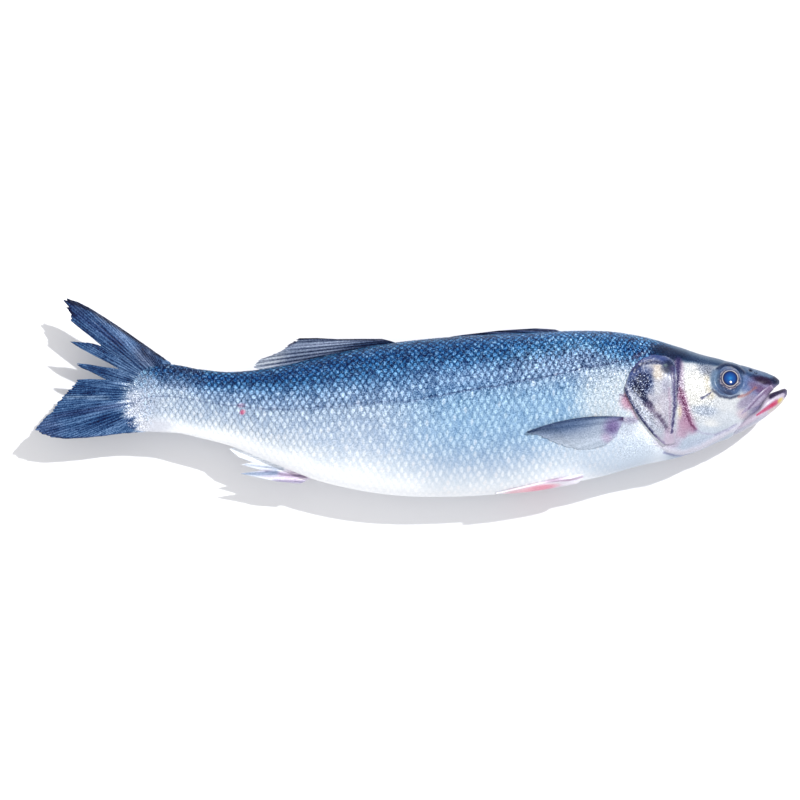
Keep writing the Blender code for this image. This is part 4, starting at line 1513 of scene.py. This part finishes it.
@dataclass
class GillCover:
    """The bony flap behind a cheek."""

    side: Side
    proud_front: float = 0.15
    proud_rear: float = 1.1
    thick_front: float = 1.3
    thick_rear: float = 1.5
    columns: int = 120
    steps: int = 170

    def build(self, finish: bpy.types.Material) -> bpy.types.Object:
        """Shapes and dresses the flap."""
        bm = Blank.slab(self.columns, self.steps)
        given = Blank.parameters(bm)
        share, down = given[:, 0] + 0.5, given[:, 1] + 0.5
        rows = tuple(reversed(GILL_ROWS))
        y = rows[-1][0] + (rows[0][0] - rows[-1][0]) * down
        front, rear = Curve(rows, 1).at(y), Curve(rows, 2).at(y)
        x = front + (rear - front) * share
        proud = self.proud_front + (self.proud_rear - self.proud_front) * share
        thick = self.thick_front + (self.thick_rear - self.thick_front) * share
        angle = self.side.value * BODY.flank_angle(x, y)
        flat = BODY.skin(x, angle)
        crumple = 0.16 * ruffle(flat, 2.4, 8.0) + 0.10 * ruffle(flat, 1.1, 9.0)
        lift = proud + relief(x, y, GILL_LAYERS) + crumple * smooth(share, 0.15, 0.5)
        round_off = 0.35 * smooth(share, 0.94, 1.0)
        outer = BODY.skin(x, angle, lift - round_off)
        inner = BODY.skin(x, angle, proud - thick)
        piece = Piece(
            f"gill_cover_skin_{self.side.word}", bm, laid_plate(outer, inner, given[:, 2]), finish,
            "gill_cover", (f"gill_cover_{self.side.word}",),
        )
        blurred_x, blurred_y = x + 0.45 * ruffle(flat, 1.4, 23.0), y + 0.45 * ruffle(flat, 1.4, 24.0)
        tint = painted((196, 200, 216), blurred_x, blurred_y, GILL_LAYERS)
        plate, edge = Wash(97.4, 5.4, 8.0, 7.0), Wash(98.4, -5.6, 3.6, 12.0, turn=40)
        bony = np.maximum(plate.mask(x, y), edge.mask(x, y))
        tint = tint + ((0.4 + bony) * ruffle(flat, 1.5, 31.0))[:, None] * np.array((12.0, 11.0, 8.0))
        arc = GILL_ARC.mask(x, y)
        fleshy = 1.0 - 0.85 * smooth(y, -12.0, -18.0)
        # Painted glints on the silver flecks of the bony plate, kept off the blue arc and the fleshy lower
        # tip.
        glint = (0.16 + 0.62 * bony) * (1.0 - 0.92 * arc) * fleshy
        rough = (0.10 + 0.13 * bony) * (1.0 - 0.6 * arc) * fleshy
        return piece.make({"tint": tint}, {"lustre": np.stack([glint, rough, 0 * x], axis=1)})


@dataclass
class Maxilla:
    """A side plate of the upper jaw."""

    side: Side
    proud: float = 0.75
    thick: float = 1.6
    steps: int = 64
    columns: int = 26

    def build(self, finish: bpy.types.Material) -> bpy.types.Object:
        """Shapes and dresses the plate."""
        bm = Blank.slab(self.steps, self.columns)
        given = Blank.parameters(bm)
        along, across = given[:, 0] + 0.5, 2.0 * given[:, 1]
        step = along * (len(MAXILLA_STATIONS) - 1)
        knots = [(i, *row) for i, row in enumerate(MAXILLA_STATIONS)]
        mid_x, mid_y, breadth = (Curve(knots, column).at(step) for column in (1, 2, 3))
        ahead_x = Curve(knots, 1).at(step + 0.05) - Curve(knots, 1).at(step - 0.05)
        ahead_y = Curve(knots, 2).at(step + 0.05) - Curve(knots, 2).at(step - 0.05)
        length = np.maximum(np.hypot(ahead_x, ahead_y), 1e-9)
        breadth = breadth * np.sqrt(np.clip(1.0 - smooth(along, 0.86, 1.06) ** 2, 0.1, 1.0))
        x = mid_x - ahead_y / length * breadth * across
        y = mid_y + ahead_x / length * breadth * across
        angle = self.side.value * BODY.flank_angle(x, y)
        lift = self.proud * (1.0 - 0.6 * np.abs(across) ** 3) + relief(x, y, MAXILLA_LAYERS)
        outer = BODY.skin(x, angle, lift)
        inner = BODY.skin(x, angle, self.proud - self.thick)
        piece = Piece(
            f"upper_jaw_skin_{self.side.word}", bm, laid_plate(outer, inner, given[:, 2]), finish,
            "jaw", (f"maxilla_{self.side.word}",),
        )
        tint = painted((184, 174, 204), x, y, MAXILLA_LAYERS)
        return piece.make({"tint": tint}, {"lustre": everywhere((0.08, 0.05, 0.0), x)})


@dataclass
class LowerJaw:
    """The lower jaw with its lip, its red skin fold and its chin."""

    segments: int = 120
    along: int = 96

    def build(self, finish: bpy.types.Material) -> bpy.types.Object:
        """Shapes and dresses the jaw."""
        bm = Blank.tube(self.segments, self.along)
        given = Blank.parameters(bm)
        angle = np.arctan2(given[:, 1], given[:, 0])
        x = np.interp(given[:, 2] + 0.5, (0.0, 0.9, 1.0), (JAW.start, 158.0, JAW.end))
        flat = JAW.skin(x, angle)
        y = flat[:, 1]
        lift = relief(x, y, JAW_LAYERS)
        piece = Piece("lower_jaw_skin", bm, laid(JAW.skin(x, angle, lift)), finish, "jaw", ("lower_jaw",))
        tint = painted((216, 206, 226), x, y, JAW_LAYERS)
        return piece.make({"tint": tint}, {"lustre": everywhere((0.06, 0.04, 0.0), x)})


@dataclass
class Eye:
    """An eyeball, sunk in its socket."""

    side: Side

    def build(self, finish: bpy.types.Material) -> bpy.types.Object:
        """Shapes and dresses the eyeball."""
        angle = self.side.value * float(BODY.flank_angle(np.array([EYE_X]), np.array([EYE_Y]))[0])

        def skin(x: float, turn: float) -> Vector:
            """A place on the bare skin."""
            return Vector(BODY.skin(np.array([x]), np.array([turn]))[0].tolist())

        along = skin(EYE_X + 1.0, angle) - skin(EYE_X - 1.0, angle)
        step = self.side.value * 0.05
        around = skin(EYE_X, angle + step) - skin(EYE_X, angle - step)
        outward = around.cross(along).normalized() * self.side.value
        centre = skin(EYE_X, angle) + outward * (EYE_PROUD - EYE_DEPTH)
        facing = Vector((0.0, 0.0, 1.0)).rotation_difference(outward).to_matrix()
        bm = bmesh.new()
        bmesh.ops.create_uvsphere(bm, u_segments=96, v_segments=64, radius=EYE_RADIUS)
        bmesh.ops.scale(bm, vec=(1.0, 1.0, EYE_DEPTH / EYE_RADIUS), verts=bm.verts)
        bmesh.ops.rotate(bm, matrix=facing, verts=bm.verts)
        bmesh.ops.translate(bm, vec=centre, verts=bm.verts)
        points = Blank.parameters(bm)
        x, y = points[:, 0], points[:, 1]
        radius = np.hypot(x - PUPIL_X, y - PUPIL_Y)
        tissue = Ring(EYE_X, EYE_Y, 7.0, 4.4, edge=0.5).mask(x, y)
        tissue = np.maximum(tissue, 0.75 * Wash(134.6, 13.0, 5.2, 2.4).mask(x, y))
        slate = painted((74, 104, 152), x, y, ORBIT_LAYERS)
        tint = np.concatenate([slate, tissue[:, None]], axis=1)
        piece = Piece(
            f"eyeball_{self.side.word}", bm, laid(points), finish, "eye", (f"eye_{self.side.word}",)
        )
        return piece.make({"tint": tint}, {"iris": np.stack([radius, 0 * radius, 0 * radius], axis=1)})


@dataclass(frozen=True)
class RayFan:
    """Ray lines that all point at one place ahead of a fin."""

    x: float
    y: float
    per_degree: float
    forked: float = 0.0

    def lines(self, x: np.ndarray, y: np.ndarray, along: np.ndarray) -> tuple[np.ndarray, np.ndarray]:
        """Which ray each place is on, and how far along it, as far as its forks go."""
        turn = np.degrees(np.arctan2(self.y - y, self.x - x))
        return turn * self.per_degree, along * self.forked


@dataclass(frozen=True)
class FinPaint:
    """A fin's colours: those of its rays, of the web between them, and the patches over both."""

    ray: Rgb
    web: Rgb
    layers: tuple[Layer, ...] = ()
    speckle: float = 0.10
    breadth: float = 1.0
    streak: float = 0.2
    fan: RayFan | None = None

    def lines(self, x: np.ndarray, y: np.ndarray, ray: np.ndarray, along: np.ndarray) -> np.ndarray:
        """Which ray each place is on, how far along it, and how narrow the rays look."""
        if self.fan is not None:
            ray, along = self.fan.lines(x, y, along)
        return np.stack([ray, along, 0 * x + self.breadth], axis=1)

    def lustre(self, glint: np.ndarray) -> np.ndarray:
        """How strongly painted glints show at each place, how flecked it is, and how streaky."""
        return np.stack([glint, self.speckle + glint * 0.06, 0 * glint + self.streak], axis=1)


def across_rays(rays: Table, across: np.ndarray) -> tuple[np.ndarray, ...]:
    """The numbers in each column of a fin's rays, at shares of the way across it."""
    places = np.linspace(0.0, 1.0, len(rays))
    return tuple(np.interp(across, places, [ray[i] for ray in rays]) for i in range(len(rays[0])))


def worn_tips(ray: np.ndarray, count: float, parts: int, seed: int) -> np.ndarray:
    """How worn the tips of the rays are, from 0 to 1.

    Args:
        ray: Which ray each place is on.
        count: How many rays the fin has.
        parts: How many parts of a ray are worn each on its own.
        seed: Another number gives other wear.

    Returns:
        The wear at each place.
    """
    toss = np.random.default_rng(seed).random(int(count * parts) + 8)
    return toss[np.clip((ray * parts + 0.5).astype(int), 0, len(toss) - 1)] ** 2


@dataclass
class MiddleFin:
    """A fin in the fish's middle plane."""

    name: str
    node: str
    slot: str
    rays: Table
    ray_count: float
    root_half: float
    tip_half: float
    columns: int
    steps: int
    paint: FinPaint
    fray: float = 0.05
    ridged: float = 0.4

    def spread(self, across: np.ndarray) -> tuple[np.ndarray, ...]:
        """Root, tip and bow of the rays at shares of the way across the fin."""
        return across_rays(self.rays, across)

    def crossing(self, across: np.ndarray) -> np.ndarray:
        """How squarely the fin's edge crosses its rays: 1 where square, and 0 where it runs along them."""
        _, _, low_x, low_y, _ = self.spread(np.clip(across - 0.006, 0.0, 1.0))
        _, _, high_x, high_y, _ = self.spread(np.clip(across + 0.006, 0.0, 1.0))
        root_x, root_y, tip_x, tip_y, _ = self.spread(across)
        edge_x, edge_y, ray_x, ray_y = high_x - low_x, high_y - low_y, tip_x - root_x, tip_y - root_y
        size = np.hypot(edge_x, edge_y) * np.hypot(ray_x, ray_y)
        return np.abs(edge_x * ray_y - edge_y * ray_x) / np.maximum(size, 1e-9)

    def tones(self, x: np.ndarray, y: np.ndarray) -> np.ndarray:
        """The colours of the rays over the fin."""
        return painted(self.paint.ray, x, y, self.paint.layers)

    def glints(self, x: np.ndarray, y: np.ndarray) -> np.ndarray:
        """How strongly painted glints show on the fin: not at all on thin skin."""
        return np.zeros_like(x)

    def build(self, finish: bpy.types.Material) -> bpy.types.Object:
        """Shapes and dresses the fin."""
        bm = Blank.slab(self.columns, self.steps)
        given = Blank.parameters(bm)
        across, along = given[:, 0] + 0.5, given[:, 1] + 0.5
        root_x, root_y, tip_x, tip_y, bow = self.spread(across)
        ray = across * self.ray_count
        worn = worn_tips(ray, self.ray_count, 4, len(self.name))
        branch = 0.5 + 0.5 * np.cos(8 * math.pi * ray)
        torn = self.fray * (worn + 0.35 * (1.0 - branch)) * self.crossing(across) ** 2
        reach = along * (1.0 - torn * smooth(along, 0.5, 1.0))
        x = root_x + (tip_x - root_x) * reach
        y = root_y + (tip_y - root_y) * reach + bow * 4 * reach * (1 - reach)
        lines = self.paint.lines(x, y, ray, along)
        waves = ray_waves(lines[:, 0], lines[:, 1])
        half = self.root_half + (self.tip_half - self.root_half) * along
        half = half * (1.0 - self.ridged * (1.0 - waves)) * (1.0 - 0.5 * smooth(along, 0.96, 1.0))
        flutter = 0.5 * ruffle(np.stack([x, y, 0 * x], axis=1), 9.0, 11.0) * smooth(along, 0.35, 1.0)
        upper = np.stack([x, y, flutter + half], axis=1)
        lower = np.stack([x, y, flutter - half], axis=1)
        face = self.tones(x, y)
        dim = np.array(self.paint.web, float) / np.array(self.paint.ray, float)
        glint = self.glints(x, y)
        gap = face * (dim + (1.0 - dim) * 0.6 * glint[:, None])
        places = laid_plate(upper, lower, given[:, 2])
        piece = Piece(self.name, bm, places, finish, self.slot, (self.node,))
        return piece.make({"face": face, "gap": gap}, {"ray": lines, "lustre": self.paint.lustre(glint)})


class TailFin(MiddleFin):
    """The tail, whose rays fan out from a point inside the tail's root."""

    def spread(self, across: np.ndarray) -> tuple[np.ndarray, ...]:
        """Root, tip and bow of the rays at even turns across the fan."""
        tips = np.array(TAIL_TIPS)
        parts = np.linspace(0.0, 1.0, 12, endpoint=False)[:, None]
        edge = np.concatenate([a + (b - a) * parts for a, b in zip(tips, tips[1:])] + [tips[-1:]])
        ways = edge - np.array(TAIL_APEX)
        turns = np.unwrap(np.arctan2(ways[:, 1], ways[:, 0]))
        turns = np.maximum.accumulate(turns + np.arange(len(turns)) * 1e-9)
        turn = turns[0] + (turns[-1] - turns[0]) * across
        tip_x, tip_y = np.interp(turn, turns, edge[:, 0]), np.interp(turn, turns, edge[:, 1])
        way_x, way_y = tip_x - TAIL_APEX[0], tip_y - TAIL_APEX[1]
        length = np.hypot(way_x, way_y)
        root_x = TAIL_APEX[0] + way_x / length * TAIL_ROOT_RADIUS
        root_y = TAIL_APEX[1] + way_y / length * TAIL_ROOT_RADIUS
        return root_x, root_y, tip_x, tip_y, 0 * root_x

    def tones(self, x: np.ndarray, y: np.ndarray) -> np.ndarray:
        """The colours of the rays, with the pale sheath over the root."""
        base = super().tones(x, y)
        pale = np.array((216, 226, 242)) + np.outer(smooth(y, -2.0, 12.0), (-44, -30, -16))
        return base + (pale - base) * (0.92 * tail_sheath(x, y))[:, None]

    def glints(self, x: np.ndarray, y: np.ndarray) -> np.ndarray:
        """Painted glints, only on the pale sheath; the same share makes the sheath's web paler."""
        return 0.9 * tail_sheath(x, y)


@dataclass
class PairedFin:
    """A pectoral or pelvic fin, folded back along the side."""

    side: Side
    name: str
    node: str
    slot: str
    rays: Table
    ray_count: float
    columns: int
    steps: int
    paint: FinPaint
    root_half: float = 0.9
    tip_half: float = 0.45
    sink: float = 1.2
    settle: float = 0.2
    fray: float = 0.03
    hug: float = 0.9

    def track(self, across: np.ndarray, along: np.ndarray) -> tuple[np.ndarray, np.ndarray, np.ndarray]:
        """Places along and round the body, and the lift at the tip, over the fin."""
        root_x, root_y, tip_x, tip_y, bow, lift = across_rays(self.rays, across)
        x = root_x + (tip_x - root_x) * along
        y = root_y + (tip_y - root_y) * along + bow * 4 * along * (1 - along)
        return x, self.side.value * BODY.flank_angle(x, y), lift

    def build(self, finish: bpy.types.Material) -> bpy.types.Object:
        """Shapes and dresses the fin."""
        bm = Blank.slab(self.columns, self.steps)
        given = Blank.parameters(bm)
        across, along = given[:, 0] + 0.5, given[:, 1] + 0.5
        ray = across * self.ray_count
        worn = worn_tips(ray, self.ray_count, 2, len(self.name) + 3)
        reach = along * (1.0 - self.fray * worn * smooth(along, 0.5, 1.0))
        x, angle, tip_lift = self.track(across, reach)
        y = BODY.skin(x, angle)[:, 1]
        lines = self.paint.lines(x, y, ray, along)
        waves = ray_waves(lines[:, 0], lines[:, 1])
        tipped = smooth(along, 0.70, 0.98) * smooth(across, 0.0, 0.2)
        thin = 1.0 - self.hug * np.maximum(smooth(across, 0.05, 0.75), tipped)
        half = self.root_half + (self.tip_half - self.root_half) * along
        rise = np.minimum(1.0, along / self.settle)
        middle = -self.sink + (tip_lift + self.sink) * rise * rise * (3 - 2 * rise)
        above = middle + half * (0.75 + 0.25 * waves) * (1.0 - 0.5 * smooth(along, 0.96, 1.0))
        outer = BODY.skin(x, angle, np.where(above > 0.18, 0.18 + (above - 0.18) * thin, above))
        inner = BODY.skin(x, angle, np.minimum(middle - half, 0.18 - 2.2 * (1.0 - thin)))
        face = painted(self.paint.ray, x, y, self.paint.layers)
        gap = face * (np.array(self.paint.web, float) / np.array(self.paint.ray, float))
        piece = Piece(self.name, bm, laid_plate(outer, inner, given[:, 2]), finish, self.slot, (self.node,))
        return piece.make({"face": face, "gap": gap}, {"ray": lines, "lustre": self.paint.lustre(0 * x)})


class PelvicFin(PairedFin):
    """A pelvic fin, which lies under the belly."""

    def track(self, across: np.ndarray, along: np.ndarray) -> tuple[np.ndarray, np.ndarray, np.ndarray]:
        """Places along and round the body, and the lift at the tip, over the fin."""
        root_x, tip_x, root_angle, tip_angle, bow = across_rays(self.rays, across)
        turn = root_angle + (tip_angle - root_angle) * along + bow * 4 * along * (1 - along)
        x = root_x + (tip_x - root_x) * along
        return x, self.side.value * np.radians(turn), 0 * along + PELVIC_LIFT


@dataclass(frozen=True)
class Studio:
    """A plain white table under soft light with a low sun behind it, seen from straight above."""

    frame_width: float = 0.3395
    lens: float = 300.0
    focus_height: float = 0.0173
    sun_height: float = 49.6
    sun_from: float = 43.8
    sun: float = 3.3
    sky: float = 0.78
    sky_lean: tuple[float, float, float] = (-0.12, -0.22, 0.20)
    sun_softness: float = 1.6
    sensor_width: float = 36.0
    aim: tuple[float, float] = (-0.00424, -0.00106)
    table_half: float = 2.0
    table_drop: float = 0.0003
    table_colour: tuple[float, float, float] = (0.81, 0.81, 0.835)

    def build(self) -> None:
        """Makes the table, the lights and the camera."""
        self.table()
        self.lights()
        self.camera()
        bpy.context.scene.view_settings.view_transform = "Standard"
        bpy.context.scene.view_settings.look = "None"

    def table(self) -> None:
        """A wide matte white table."""
        bm = bmesh.new()
        bmesh.ops.create_grid(bm, x_segments=2, y_segments=2, size=self.table_half)
        bmesh.ops.translate(bm, vec=(0.0, 0.0, -self.table_drop), verts=bm.verts)
        mesh = bpy.data.meshes.new("table")
        bm.to_mesh(mesh)
        bm.free()
        table = bpy.data.objects.new("table", mesh)
        white = bpy.data.materials.new("White table")
        white.use_nodes = True
        shader = white.node_tree.nodes["Principled BSDF"]
        shader.inputs["Base Color"].default_value = (*self.table_colour, 1.0)
        shader.inputs["Roughness"].default_value = 0.9
        shader.inputs["Specular IOR Level"].default_value = 0.05
        mesh.materials.append(white)
        bpy.context.scene.collection.objects.link(table)

    def lights(self) -> None:
        """A soft sky that is brighter low in front, and a sun behind the fish's back."""
        world = bpy.data.worlds.new("Studio")
        world.use_nodes = True
        board = Board(world.node_tree)
        sky = world.node_tree.nodes["Background"]
        facing = board.node("ShaderNodeTexCoord").outputs["Generated"]
        lean = board.vector_math("DOT_PRODUCT", facing, self.sky_lean)
        board.feed(sky.inputs["Strength"], board.math("ADD", lean.outputs["Value"], self.sky))
        sky.inputs["Color"].default_value = (1.0, 1.0, 1.0, 1.0)
        bpy.context.scene.world = world

        lamp = bpy.data.lights.new("sun", "SUN")
        lamp.energy = self.sun
        lamp.angle = math.radians(self.sun_softness)
        light = bpy.data.objects.new("sun", lamp)
        tilt, turn = math.radians(90.0 - self.sun_height), math.radians(self.sun_from)
        way = Vector((math.sin(tilt) * math.cos(turn), math.sin(tilt) * math.sin(turn), math.cos(tilt)))
        light.rotation_euler = way.to_track_quat("Z", "Y").to_euler()
        bpy.context.scene.collection.objects.link(light)

    def camera(self) -> None:
        """A long lens straight above the fish."""
        camera = bpy.data.cameras.new("camera")
        camera.lens = self.lens
        camera.sensor_width = self.sensor_width
        camera.clip_end = 20.0
        stand = bpy.data.objects.new("camera", camera)
        distance = self.lens / self.sensor_width * self.frame_width
        stand.location = (*self.aim, self.focus_height + distance)
        stand.rotation_euler = Euler((0.0, 0.0, 0.0))
        bpy.context.scene.collection.objects.link(stand)
        bpy.context.scene.camera = stand


TAIL_PAINT = FinPaint(
    ray=(84, 124, 174),
    web=(34, 70, 120),
    layers=(
        Wash(-126, 27, 16, 7, (60, 94, 148), 0.5, turn=-35),
        Wash(-118, 11, 16, 11, (118, 148, 190), 0.6),
        Wash(-112, 17, 9, 5, (66, 74, 110), 0.6, turn=-35),
        Wash(-142, 38, 9, 6, (36, 60, 110), 0.6),
        Wash(-155, -13, 11, 7, (44, 66, 118), 0.6),
        Stroke(((-122, -3.2), (-136, -5.4), (-151, -8.0)), 2.2, (36, 58, 112), 0.6, edge=0.95),
        Stroke(((-128, -0.2), (-138, 0.2), (-147, 0.4)), 1.5, (176, 190, 214), 0.55, edge=0.95),
        Stroke(((-120, -9.6), (-134, -12.0), (-148, -14.2)), 1.8, (104, 136, 184), 0.5, edge=0.95),
        Stroke(((-118, 14.0), (-128, 20.4), (-138, 27.4)), 1.8, (112, 142, 186), 0.5, edge=0.95),
        Stroke(((-122, 22.6), (-132, 29.0), (-141, 35.0)), 2.2, (40, 70, 128), 0.6, edge=0.95),
        Stroke(((-104, 16.4), (-120, 27.2), (-136, 37.6), (-146, 41.6)), 1.4, (26, 36, 66), 0.85, edge=0.9),
        Stroke(
            ((-112, -14.8), (-130, -16.4), (-146, -17.4), (-159, -14.6)), 1.1, (36, 56, 104), 0.6, edge=0.9
        ),
    ),
    speckle=0.10,
    breadth=1.3,
    streak=0.42,
)
SOFT_DORSAL_PAINT = FinPaint(
    ray=(138, 154, 184),
    web=(44, 58, 94),
    layers=(
        Wash(-60, 15.4, 12, 5, (214, 222, 234), 0.8, turn=24),
        Wash(-11, 22.5, 24, 5, (34, 56, 96), 0.95, turn=5),
        Wash(-30, 17.6, 24, 3.0, (30, 44, 80), 0.9, turn=12),
        Stroke(((-4, 24.4), (-21, 24.9), (-40, 25.3), (-48.4, 25.1)), 1.3, (30, 36, 68), 0.85, edge=0.9),
        Stroke(((-49, 23.4), (-56, 19.8), (-62, 17.0)), 1.0, (44, 46, 74), 0.7, edge=0.9),
    ),
    speckle=0.09,
    breadth=0.7,
    streak=0.34,
    fan=RayFan(26.0, 27.2, 0.85, 0.35),
)
SPINY_DORSAL_PAINT = FinPaint(
    ray=(66, 88, 134),
    web=(18, 28, 60),
    layers=(Stroke(((68, 28.0), (54, 29.2), (38, 28.2), (22, 26.6)), 1.0, (34, 38, 70), 0.8, edge=0.9),),
    speckle=0.08,
    streak=0.34,
    fan=RayFan(160.0, 22.0, 1.6),
)
# Painted light: the anal fin lies in the body's shadow, so its paint goes over 255 to make up for it.
ANAL_PAINT = FinPaint(
    ray=(292, 298, 306),
    web=(262, 270, 288),
    layers=(
        Wash(-48, -33.0, 12, 4.6, (262, 234, 258), 0.7, turn=6),
        Wash(-59, -32.6, 9, 2.6, (248, 232, 256), 0.7, turn=-8),
        Stroke(((-44, -33.6), (-54, -32.6), (-61, -31.6)), 1.1, (150, 128, 164), 0.7, edge=0.95),
        Stroke(
            ((-57, -32.0), (-64, -32.4), (-71.5, -32.2)),
            2.2, (158, 178, 210), 0.85, end_width=1.0, edge=0.9,
        ),
        Stroke(((-44, -36.0), (-51, -35.6), (-58, -35.4)), 1.2, (142, 132, 170), 0.7, edge=0.95),
        Stroke(
            ((-54, -30.4), (-62, -29.4), (-70, -28.4)), 1.0, (206, 218, 240), 0.7, end_width=0.6, edge=0.9
        ),
    ),
    speckle=0.04,
    breadth=0.8,
)
PECTORAL_PAINT = FinPaint(
    ray=(210, 223, 241),
    web=(190, 204, 230),
    layers=(
        Wash(66, -11.6, 30, 9.0, (150, 168, 198), 0.85, turn=9, edge=0.95),
        Wash(64, -11.0, 24, 6.0, (78, 104, 146), 0.9, turn=11, edge=0.95),
        Stroke(
            ((91, -8.0), (80, -7.4), (68, -8.8), (57, -11.8), (49.6, -14.4)),
            2.4, (56, 76, 114), 0.85, 1.2, 0.9,
        ),
        Wash(74, -20.6, 20, 4.4, (214, 228, 244), 0.8, turn=-3, edge=0.95),
        Wash(85.4, -12.0, 5.6, 6.6, (126, 104, 164), 0.85, turn=-30, edge=0.9),
        Wash(83.0, -17.0, 4.2, 3.0, (206, 180, 214), 0.6, turn=-26, edge=0.9),
        Wash(90.8, -9.0, 4.0, 1.9, (74, 46, 92), 0.85, edge=0.9),
    ),
    speckle=0.06,
    breadth=0.7,
    streak=0.12,
    fan=RayFan(137.0, -1.7, 2.6, 0.5),
)
# Painted light: the pelvic fins lie in the shade under the belly, so their paint goes over 255 to make up for
# it.
PELVIC_PAINT = FinPaint(
    ray=(290, 288, 298),
    web=(276, 268, 286),
    layers=(
        Wash(74, -33.4, 10, 3.0, (286, 292, 304), 0.8),
        Stroke(((76, -33.2), (66, -33.9), (56, -34.9), (46, -36.4)), 0.7, (206, 168, 204), 0.7, edge=0.9),
        Wash(55, -37.4, 11, 2.0, (292, 190, 214), 0.85, turn=9),
        Wash(46, -39.0, 9, 1.6, (300, 234, 246), 0.7, turn=10),
    ),
    speckle=0.03,
    streak=0.12,
)


def main() -> None:
    """Builds and dresses the fish piece by piece, then the studio round it."""
    logging.basicConfig(level=logging.INFO, format="%(name)s: %(message)s")
    finishes = Finishes()
    skin = BodySkin(finishes)
    skin.trunk()
    skin.head()
    LowerJaw().build(finishes.jaw_skin)
    for side in Side:
        word = side.word
        GillCover(side).build(finishes.gill_bone)
        Maxilla(side).build(finishes.jaw_skin)
        Eye(side).build(finishes.eye)
        PairedFin(
            side, f"pectoral_skin_{word}", f"pectoral_fin_{word}", "dark_fin", PECTORAL_RAYS, 15.0, 150, 100,
            PECTORAL_PAINT,
        ).build(finishes.fin)
        PelvicFin(
            side, f"pelvic_skin_{word}", f"pelvic_fin_{word}", "pale_fin", PELVIC_RAYS, 6.0, 60, 100,
            PELVIC_PAINT, tip_half=0.4, sink=1.3, settle=0.25, hug=0.3,
        ).build(finishes.fin)
    TailFin(
        "tail_skin", "tail_fin", "dark_fin", TAIL_TIPS, 30.0, 1.15, 0.4, 540, 84, TAIL_PAINT, fray=0.06
    ).build(finishes.fin)
    MiddleFin(
        "soft_dorsal_skin", "soft_dorsal_fin", "dark_fin", SOFT_DORSAL_RAYS, 12.0, 1.0, 0.35, 300, 110,
        SOFT_DORSAL_PAINT, fray=0.08,
    ).build(finishes.fin)
    MiddleFin(
        "spiny_dorsal_skin", "spiny_dorsal_fin", "dark_fin", SPINY_DORSAL_RAYS, 8.0, 1.1, 0.5, 160, 40,
        SPINY_DORSAL_PAINT, fray=0.02,
    ).build(finishes.fin)
    MiddleFin(
        "anal_skin", "anal_fin", "pale_fin", ANAL_RAYS, 9.0, 1.0, 0.35, 160, 70, ANAL_PAINT
    ).build(finishes.fin)
    Studio().build()


if __name__ == "__main__":
    main()
